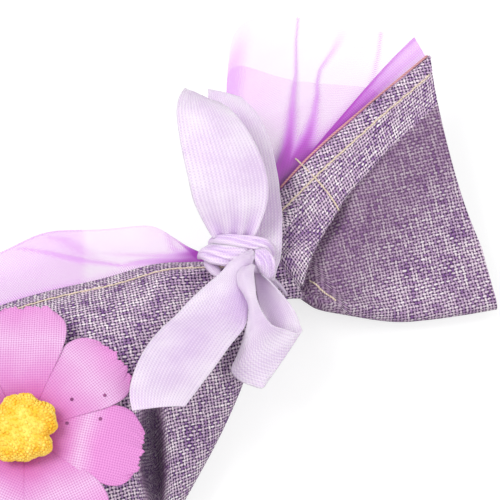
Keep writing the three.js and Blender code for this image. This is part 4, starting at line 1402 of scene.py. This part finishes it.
lower_loop = ribbon_piece(
    "lower_loop",
    left=[
        (-3, -3.4, 4.6), (-5.2, -4.3, 4.8), (-6.2, -6.1, 4.6), (-6, -8.6, 4.2), (-4.5, -11, 3.6),
        (-3.4, -13.6, 2.8), (-3.5, -16.3, 1.6), (-4.1, -19, 0.4), (-5.1, -21.9, -0.8), (-6.3, -24.9, -2),
        (-7.7, -28.3, -3.2), (-5.5, -30.6, -4), (-2.5, -31.8, -4.4), (0.3, -32.2, -4.6), (1.2, -28.7, -4.6),
        (1, -22.3, -4.4), (0, -15.5, -3.8), (-1, -9.5, -3), (-1.5, -5.2, -2), (-1.7, -2.2, -1),
    ],
    right=[
        (-1.9, -3.5, 4.8), (-2, -5.2, 5), (-1.9, -7.3, 5), (-1.6, -9.7, 5), (-1.4, -11.7, 4.8),
        (-0.9, -13.7, 4.6), (0.1, -15.9, 4.2), (1.3, -17.5, 3.6), (2.6, -18.6, 2.8), (4.1, -19, 2),
        (5.6, -19, 1), (7.1, -19.2, 0), (8.6, -19.3, -1), (9.9, -18.4, -2), (9.4, -16.2, -3),
        (8.5, -13.8, -2.4), (7, -11.5, -1.6), (5, -9.2, -0.6), (2.5, -6.7, 0.6), (0, -4.6, 1.6),
    ],
    swell=[0.5, 1.2, 1, 0.6, 0.6, 0.5, 0.2, 0.2, 0.4, 0.2],
    # Painted shade inside the loop
    dusk=((0.95, 0.5, 0.3),),
)
long_tail = ribbon_piece(
    "long_tail",
    left=[
        (-2.4, 0.8, 4.4), (-4.9, -0.6, 4.8), (-7.7, -2.2, 4.4), (-10.4, -5.2, 3.8), (-14.1, -8.5, 3.4),
        (-17.7, -12.2, 3.6), (-21.3, -16.8, 4.6), (-24.8, -20.8, 6), (-28, -26, 8), (-30, -31, 9.6),
        (-31.2, -36, 11), (-31.3, -39.6, 12), (-30.6, -43, 12),
    ],
    right=[
        (-1.9, 0.1, 4.2), (-2, -1.4, 4.2), (-2.5, -3, 3.8), (-3.1, -6, 2.6), (-3.4, -10.4, 2),
        (-3.5, -14.4, 1.2), (-4.3, -18.4, 1), (-7.6, -23.8, 3.6), (-11.4, -30.3, 6.2), (-14.2, -34.8, 8),
        (-15.6, -37.2, 9), (-17, -39.4, 10), (-18.3, -41.5, 10.8),
    ],
    swell=[0.3, 1, 1.4, 1.6, 1.5, 1.2, 0.9, 0.7],
    # Painted shade on the tail's right half near its root and over its middle
    dusk=((0.3, 1, 0.7), (0.6, 0.5, 0.25)),
)
short_tail = ribbon_piece(
    "short_tail",
    left=[
        (-7.5, -0.5, -3.6), (-9.6, 3.2, -3.2), (-10.6, 7.8, -2.6), (-10.9, 13.7, -2), (-10.9, 18.4, -1.4),
        (-11.2, 22.7, -1), (-11.7, 28.1, -0.4), (-12.5, 33.5, 0.2), (-13.3, 38.9, 0.8), (-13.9, 43.4, 1.1),
        (-13.9, 47.1, 1.3),
    ],
    right=[
        (3, -4.6, -3.6), (3.8, -1.6, -3), (4.9, 2.4, -2.4), (5.2, 11.9, -1.2), (4.7, 17.5, -0.6),
        (4.3, 21.8, -0.2), (3.3, 27.5, 0.2), (2.2, 32.5, 0.5), (0.4, 37.2, 0.8), (-1.8, 41, 1),
        (-5.3, 44.8, 1.2),
    ],
    swell=[0.4, 0.9, 1, 0.8, 0.6, 0.4],
)


def knot_rolls():
    """The tied knot: a broad wrap that comes round the neck from the left, a band over the upper loop's
    foot, a short wrap on the right, a facet under the long tail's root, and the bundle inside them."""
    return [
        swept(
            [(-16.2, 2.2, -5.4), (-14.8, 2, -1.2), (-12.3, 1.3, 0.9), (-8.6, 0.4, 2.2), (-4.6, 0, 2.8),
             (-2, -0.2, 2.6)],
            widths=[1, 3.4, 6, 6.6, 5.4, 3],
            heights=[1.2, 2.2, 2.8, 2.8, 2.4, 1.6],
            creases=((2.3, 0.4), (1.65, 0.55), (1, 0.45)),
            twist=-1.6,
        ),
        swept(
            [(-13.4, 4, -1.6), (-12, 4.6, 0.8), (-8.7, 4.1, 2.8), (-4.8, 3.2, 3.8), (-2.1, 2.8, 4),
             (0.7, 2.6, 3.4), (2.3, 2.1, 1.4), (3, 1.5, -1.4)],
            widths=[1.8, 2.8, 3.2, 3.4, 3.6, 3.2, 2.6, 2],
            heights=[1.4, 1.8, 2, 2, 2, 2, 1.8, 1.4],
            creases=((2.3, 0.3), (1.5, 0.35), (0.9, 0.5), (1.9, 0.62), (1.2, 0.78)),
            twist=-2.4,
        ),
        swept(
            [(-1.7, 1.2, 3.2), (-0.9, 0.3, 3.7), (0.2, -1, 3.9), (1, -2.6, 3.2), (1.1, -4.2, 1.6),
             (0.6, -5.3, -0.4)],
            widths=[2, 3.6, 4.6, 4.8, 4, 2.4],
            heights=[1.2, 1.6, 1.8, 1.8, 1.6, 1.2],
            creases=((1.1, 0.4), (1.8, 0.5), (2.4, 0.65)),
            twist=0.8,
        ),
        swept(
            [(-14.4, 1.2, -4.6), (-13.2, -0.4, -2.6), (-11.8, -2.6, -1.4), (-10.2, -4.6, -0.6)],
            widths=[1.6, 2.8, 2.8, 1.6],
            heights=[1.2, 1.8, 1.8, 1.2],
        ),
        swept(
            [(-9.5, 0.4, -1.4), (-5, 0.2, 0.4), (-1, -0.8, 0.6), (2, -2, -1)],
            widths=[4, 6, 6.4, 4.6],
            heights=[4, 5, 5.2, 4],
        ),
    ]


make_piece("bow_knot", knot_rolls(), satin, ["ribbon_knot"], closed=True)


def neck_band():
    """The band round the neck: an ellipse round the gathers, with ridges that run round it as a sine
    across."""
    half = (BAND_HIGH - BAND_LOW) / 2
    turn = np.linspace(0, 2 * np.pi, 97)[None, :]
    w = np.linspace(-1, 1, 41)[:, None]
    ridges = BAND_RIDGE * np.sin(w * BAND_RIDGE_TURNS + BAND_RIDGE_SWAY * np.sin(2 * turn))
    ridges = ridges - BAND_RIM * w**6 - BAND_INSET
    x = (half[0] + ridges) * np.cos(turn) - BAND_SLACK * (1 + np.cos(turn))
    z = NECK_CENTRE + (half[2] + ridges) * np.sin(turn)
    y = BAND_SHIFT + BAND_HALF * w + BAND_WANDER * np.sin(3 * turn + 0.7)
    uv = np.stack(np.broadcast_arrays(w * RIBBON_WIDTH / 2, turn * half[0]), -1)
    return Patch(np.stack(np.broadcast_arrays(x, y, z), -1), uv, flip=True)


band = make_piece("neck_band", [neck_band()], satin, ["ribbon_neck_band"], BAND_CLOTH, closed=True)


# Flower

def petal_share(number, radius):
    """How far along a petal a radius is, from 0 at the root to 1 at the tip."""
    return (radius - PETAL_ROOT_RADIUS) / PETAL_LENGTHS[number]


def petal_half_width(number, radius, across):
    """It fills its share of the circle and rounds off to a broad tip as an ellipse. Its counter-clockwise
    side runs on under the next petal by the lap."""
    u = petal_share(number, radius)
    lap = np.where(across > 0, lerp(PETAL_ROOT_LAP, PETAL_LAP, smooth(u, 0.1, 0.6)), -PETAL_CLEARANCE)
    tip = np.clip((u - PETAL_BROADEST) / PETAL_TIP_SPAN, 0, 0.9)
    return (np.pi / PETAL_COUNT * radius + lap) * np.sqrt(1 - tip**2)


def petal_surface(number, radius, across):
    """A petal along the flower's radius: it rises by a half sine and droops by a square to a ragged tip,
    with a shallow crease along its middle, and leans so that its clockwise side lies over the next
    petal."""
    u = petal_share(number, radius)
    phase = 1.7 * number
    notches = PETAL_DENT * np.cos(1.5 * np.pi * across + 0.5 * phase) ** 2 + PETAL_CORNER * across**4
    ragged = 0.22 * np.sin(17 * across + phase) + 0.2 * np.sin(37 * across + 2 * phase)
    lift = PETAL_RISE * np.sin(np.pi * u) - PETAL_DROOP * u**2 - PETAL_TWIST * u**0.7 * across
    ripple = PETAL_RIPPLE * u**2 * np.sin(4 * across + phase)
    ripple = ripple - PETAL_CREASE * np.sin(np.pi * u) * bell(across, 0.12)
    reach = radius - u**5 * (notches + ragged)
    side = across * petal_half_width(number, radius, across)
    turn = np.pi / 2 - 2 * np.pi * number / PETAL_COUNT
    x = FLOWER[0] + reach * np.cos(turn) - side * np.sin(turn)
    y = FLOWER[1] + reach * np.sin(turn) + side * np.cos(turn)
    return np.stack(np.broadcast_arrays(x, y, PETAL_BASE + PETAL_CLOTH + lift + ripple), -1), side


def petal(number):
    """One petal as a grid of radius and place across. Its tone deepens the colour of its outer half."""
    u = 1 - (1 - np.linspace(0, 1, 64)[:, None]) ** 1.3
    across = np.linspace(-1, 1, 57)[None, :]
    radius = PETAL_ROOT_RADIUS + PETAL_LENGTHS[number] * u
    points, side = petal_surface(number, radius, across)
    uv = np.stack(np.broadcast_arrays(side, radius), -1)
    marks = u + PETAL_TONES[number] * smooth(u, 0.25, 0.6) + 0 * across
    return Patch(points, uv, marks, flip=True)


petals = [
    make_piece(f"petal_cloth_{k + 1}", [petal(k)], petal_cloth, [f"petal_{k + 1}"], PETAL_CLOTH)
    for k in range(PETAL_COUNT)
]


def speck_disc(number, radius, side):
    """A small dark prick in a petal: a disc that follows the petal's surface just above it."""
    turn = np.linspace(0, 2 * np.pi, 13)[None, :]
    out = SPECK_RADIUS * np.linspace(0, 1, 4)[:, None]
    reach = radius + out * np.cos(turn)
    across = (side + out * np.sin(turn)) / petal_half_width(number, reach, np.full_like(reach, side))
    points = petal_surface(number, reach, across)[0]
    points[..., 2] += SPECK_LIFT
    return Patch(points)


make_piece("petal_specks", [speck_disc(*place) for place in SPECKS], speck, closed=True)


def pad_disc():
    """A felt disc with a rounded rim, as a profile turned round the flower's axis."""
    low, high = corners("flower_pad")
    radius, height = (high[0] - low[0]) / 2, high[2] - low[2]
    profile = np.array([(0, 0), (0.9, 0), (0.98, 0.2), (1, 0.5), (0.98, 0.8), (0.9, 1), (0, 1)])
    turn = np.linspace(0, 2 * np.pi, 49)[None, :]
    out = profile[:, :1] * radius * (1 + 0.02 * np.sin(7 * turn))
    x, y = FLOWER[0] + out * np.cos(turn), FLOWER[1] + out * np.sin(turn)
    z = low[2] + profile[:, 1:] * height
    return Patch(np.stack(np.broadcast_arrays(x, y, z), -1))


pad = make_piece("felt_pad", [pad_disc()], felt, ["flower_pad"], closed=True)


def pollen_patches():
    """A dome crusted with grains: a quarter cosine from its top to a short upright edge, lumpy by sines,
    with a notch in its rim. Grains are set by the golden angle."""
    low, high = POLLEN_LOW - ORIGIN, POLLEN_HIGH - ORIGIN
    height = high[2] - low[2] - GRAIN_RADIUS

    def dome(share, turn):
        """The dome from its top (0) to its rim (1) and on down the edge to its foot (2)."""
        off = (turn - BOW_TURN + POLLEN_NOTCH_TURN + np.pi) % (2 * np.pi) - np.pi
        notch = 1 - POLLEN_NOTCH * bell(off, POLLEN_NOTCH_WIDTH)
        rim = POLLEN_RADIUS * notch * (1 + 0.05 * np.sin(5 * turn + 1) + 0.04 * np.sin(9 * turn))
        curve = np.pi / 2 * np.minimum(share, 1)
        out = rim * np.sin(curve) ** 0.9
        lumps = POLLEN_LUMPS * np.sin(3 * turn + 2) * np.sin(2 * curve)
        top = height * lerp(np.cos(curve), 1, POLLEN_EDGE) + lumps
        z = np.where(share < 1, top, height * POLLEN_EDGE * (2 - share))
        x, y = FLOWER[0] + out * np.cos(turn), FLOWER[1] + out * np.sin(turn)
        return np.stack(np.broadcast_arrays(x, y, low[2] + z), -1)

    turn = np.linspace(0, 2 * np.pi, 65)[None, :]
    core = dome(np.linspace(0, 2, 24)[:, None], turn)
    foot = np.full_like(core[-1:], low[2])
    foot[..., :2] = FLOWER[:2]
    core = np.concatenate([core, foot])
    count = np.arange(GRAIN_COUNT)
    share = np.sqrt((count + 0.5) / GRAIN_COUNT) * GRAIN_SPREAD
    centres = dome(share, count * GOLDEN_ANGLE)
    sizes = GRAIN_RADIUS * (1 + GRAIN_VARIETY * np.sin(count * 12.9898))
    grains = ball(6, 5)[None] * sizes[:, None, None, None] + centres[:, None, None, :]
    return [Patch(core, flip=True), *[Patch(grain, flip=True) for grain in grains]]


make_piece("pollen", pollen_patches(), pollen, ["pollen_head"], closed=True)


# Sewing thread

def tube(path, radius, sides=8):
    """A round thread along a path, closed to a point at both ends."""
    ahead = unit(np.gradient(path, axis=0))
    side = unit(np.cross(ahead, np.array([0, 0, 1.0]) + 0.01))
    rise = np.cross(side, ahead)
    turn = np.linspace(0, 2 * np.pi, sides + 1)[None, :, None]
    thick = np.full(len(path), radius)
    thick[[0, -1]] = 0
    ring = side[:, None] * np.cos(turn) + rise[:, None] * np.sin(turn)
    points = path[:, None] + ring * thick[:, None, None]
    around = np.broadcast_to(turn[..., 0] * radius, points.shape[:2])
    uv = np.stack([around, np.broadcast_to(steps_along(path[:, None], 0), points.shape[:2])], -1)
    return Patch(points, uv, flip=True)


def stitched(path, side, radius=THREAD / 2):
    """Running stitches along a path on the cloth: the thread rises over each stitch and dives at its
    ends, by a power of the way along the stitch."""
    length = steps_along(path[:, None], 0)[:, 0]
    fine = np.linspace(0, length[-1], int(length[-1] / STITCH_STEP))
    dense = np.stack([np.interp(fine, length, path[:, n]) for n in range(3)], -1)
    place = (fine / STITCH) % 1
    dense[:, 2] += side * (radius * STITCH_LIFT - STITCH_DIVE * radius * np.abs(2 * place - 1) ** 8)
    return tube(dense, radius)


def hem_line(front, downs, ts):
    """The line of stitches at the hem's width from the open edge of a panel."""
    points = jacket_points(front, crowded(160, 0.4, 1.0), downs, ts)
    across = steps_along(points, 1)
    from_hem = across[:, -1:] - across
    column = np.argmin(np.abs(from_hem - HEM), axis=1)
    return points[np.arange(len(points)), column]


def row_line():
    """The row of stitches across the mouth as far as the knife pleat, with its loose end past the hem."""
    first = (MOUTH_STITCH_PLACE - NECK_STRAIGHT) / (MOUTH_HEM_CORNER[1] - NECK_STRAIGHT)
    s = np.linspace(0.5, 1, 150)
    t = first + MOUTH_STITCH_SLANT * (1 - s)
    row = jacket_points(True, s, NO_ROWS, t)[np.arange(len(s)), np.arange(len(s))]
    row = row[flap_edge(s, t) < 0]
    onward = unit(row[-1] - row[-8])
    loose = row[-1] + onward * np.linspace(0.3, THREAD_TAIL, 10)[:, None]
    return np.concatenate([row, loose])


def fold_line():
    """The same row where it comes out again beside the fold, nearer the neck."""
    s = np.linspace(0.08, 0.32, 60)
    ts = np.linspace(0.13, 0.085, len(s))
    return jacket_points(True, s, NO_ROWS, ts)[np.arange(len(s)), np.arange(len(s))]


def cord_line():
    """Along the open edge of the mouth, just past the linen."""
    hem = jacket_points(True, np.array([0.98, 1.0]), NO_ROWS, np.linspace(0.2, 0.99, 120))
    return hem[:, 1] + unit(hem[:, 1] - hem[:, 0]) * CORD_OFFSET + np.array([0, 0, 0.1])


BODY_HEM = np.linspace(BODY_LENGTH - BAG_END_CLEARANCE, NECK_STRAIGHT + 1, 160)
BACK_HEM = np.linspace(88, NECK_STRAIGHT + 1, 140)
MOUTH_HEM = np.linspace(0.06, 0.985, 120)


def sew(name, lines, side, stands_for):
    """A piece of stitched thread along the lines."""
    rows = [stitched(line, side) for line in lines]
    return make_piece(name, rows, gold_thread, [stands_for], closed=True)


sew("hem_stitches_body", [hem_line(True, BODY_HEM, NO_ROWS)], 1, "hem_thread_body")
sew("hem_stitches_mouth", [hem_line(True, NO_ROWS, MOUTH_HEM)], 1, "hem_thread_mouth")
sew("back_stitches_body", [hem_line(False, BACK_HEM, NO_ROWS)], -1, "back_hem_thread_body")
sew("back_stitches_mouth", [hem_line(False, NO_ROWS, MOUTH_HEM)], -1, "back_hem_thread_mouth")
sew("mouth_stitches", [row_line(), fold_line()], 1, "mouth_stitch_thread")
make_piece("coral_cord", [tube(cord_line(), CORD / 2)], coral_thread, closed=True)


# Every piece but the loops and tails rides on the pouch's body; the loops and tails stay where they are
# made

ROOTS = (
    (upper_loop, "upper_loop", (-5, 3, 1), (-8, 12, 5)),
    (lower_loop, "lower_loop", (-2, -2, 2), (-1, -10, 2)),
    (long_tail, "long_tail", (-3, 0, 5), (-9, -8, 3)),
    (short_tail, "short_tail", (-3, 0, -3), (-3, 9, -2)),
)
for piece, body, start, end in ROOTS:
    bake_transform(piece)
bending = [root[0] for root in ROOTS]
for piece in pieces:
    if piece not in bending:
        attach(piece, "pouch")


# Stage, light and camera

def floor_finish():
    """A pale floor that takes the sachet's shadow and shows white to the camera where it is lit."""
    f = Finish("floor")
    speckle = f.noise(f.coordinates.outputs["Object"], 60.0).outputs["Fac"]
    base = f.ramp(speckle, (0.0, (0.38, 0.38, 0.385, 1)), (1.0, (0.4, 0.4, 0.4, 1)))
    path_kind = f.node("LightPath")
    seen = f.sums("MAXIMUM", path_kind.outputs["Is Camera Ray"], path_kind.outputs["Is Glossy Ray"])
    glow = f.sums("MULTIPLY", seen, FLOOR_GLOW)
    f.set(Base_Color=base, Roughness=0.9, Emission_Color=(1, 1, 1, 1), Emission_Strength=glow)
    return f.material


floor_signs = ((-1, -1), (1, -1), (1, 1), (-1, 1))
floor_corners = [(x * FLOOR_HALF, y * FLOOR_HALF, -FLOOR_DROP) for x, y in floor_signs]
floor_mesh = bpy.data.meshes.new("floor")
floor_mesh.from_pydata(floor_corners, [], [(0, 1, 2, 3)])
floor = bpy.data.objects.new("floor", floor_mesh)
floor_mesh.materials.append(floor_finish())
bpy.context.scene.collection.objects.link(floor)

world = bpy.data.worlds.new("studio")
bpy.context.scene.world = world
world.use_nodes = True
sky = world.node_tree.nodes["Background"]
path_kind = world.node_tree.nodes.new("ShaderNodeLightPath")
level = world.node_tree.nodes.new("ShaderNodeMapRange")
level.inputs["To Min"].default_value = SKY_LEVEL
level.inputs["To Max"].default_value = 1.0
world.node_tree.links.new(path_kind.outputs["Is Camera Ray"], level.inputs["Value"])
world.node_tree.links.new(level.outputs[0], sky.inputs["Strength"])
sky.inputs["Color"].default_value = (1, 1, 1, 1)


def soft_box(name, towards, distance, size, watts):
    """A square lamp that faces the sachet from a direction."""
    data = bpy.data.lights.new(name, "AREA")
    data.size = size
    data.energy = watts
    lamp = bpy.data.objects.new(name, data)
    lamp.location = Vector(towards).normalized() * distance
    lamp.rotation_euler = (-lamp.location).to_track_quat("-Z", "Y").to_euler()
    bpy.context.scene.collection.objects.link(lamp)


soft_box("key", (-0.52, -0.42, 1.1), 0.8, 0.36, 3.4)
soft_box("fill", (0.95, 0.3, 0.9), 0.9, 0.7, 3.2)

camera_data = bpy.data.cameras.new("camera")
camera_data.lens = CAMERA_LENS
camera_data.sensor_width = CAMERA_SENSOR
camera_data.clip_start = CAMERA_NEAR
camera = bpy.data.objects.new("camera", camera_data)
camera.location = Vector((CAMERA_PLACE + ORIGIN) * MM)
camera.rotation_euler = Vector(CAMERA_AIM - CAMERA_PLACE).to_track_quat("-Z", "Y").to_euler()
bpy.context.scene.collection.objects.link(camera)
bpy.context.scene.camera = camera

bpy.context.scene.view_settings.view_transform = "Standard"
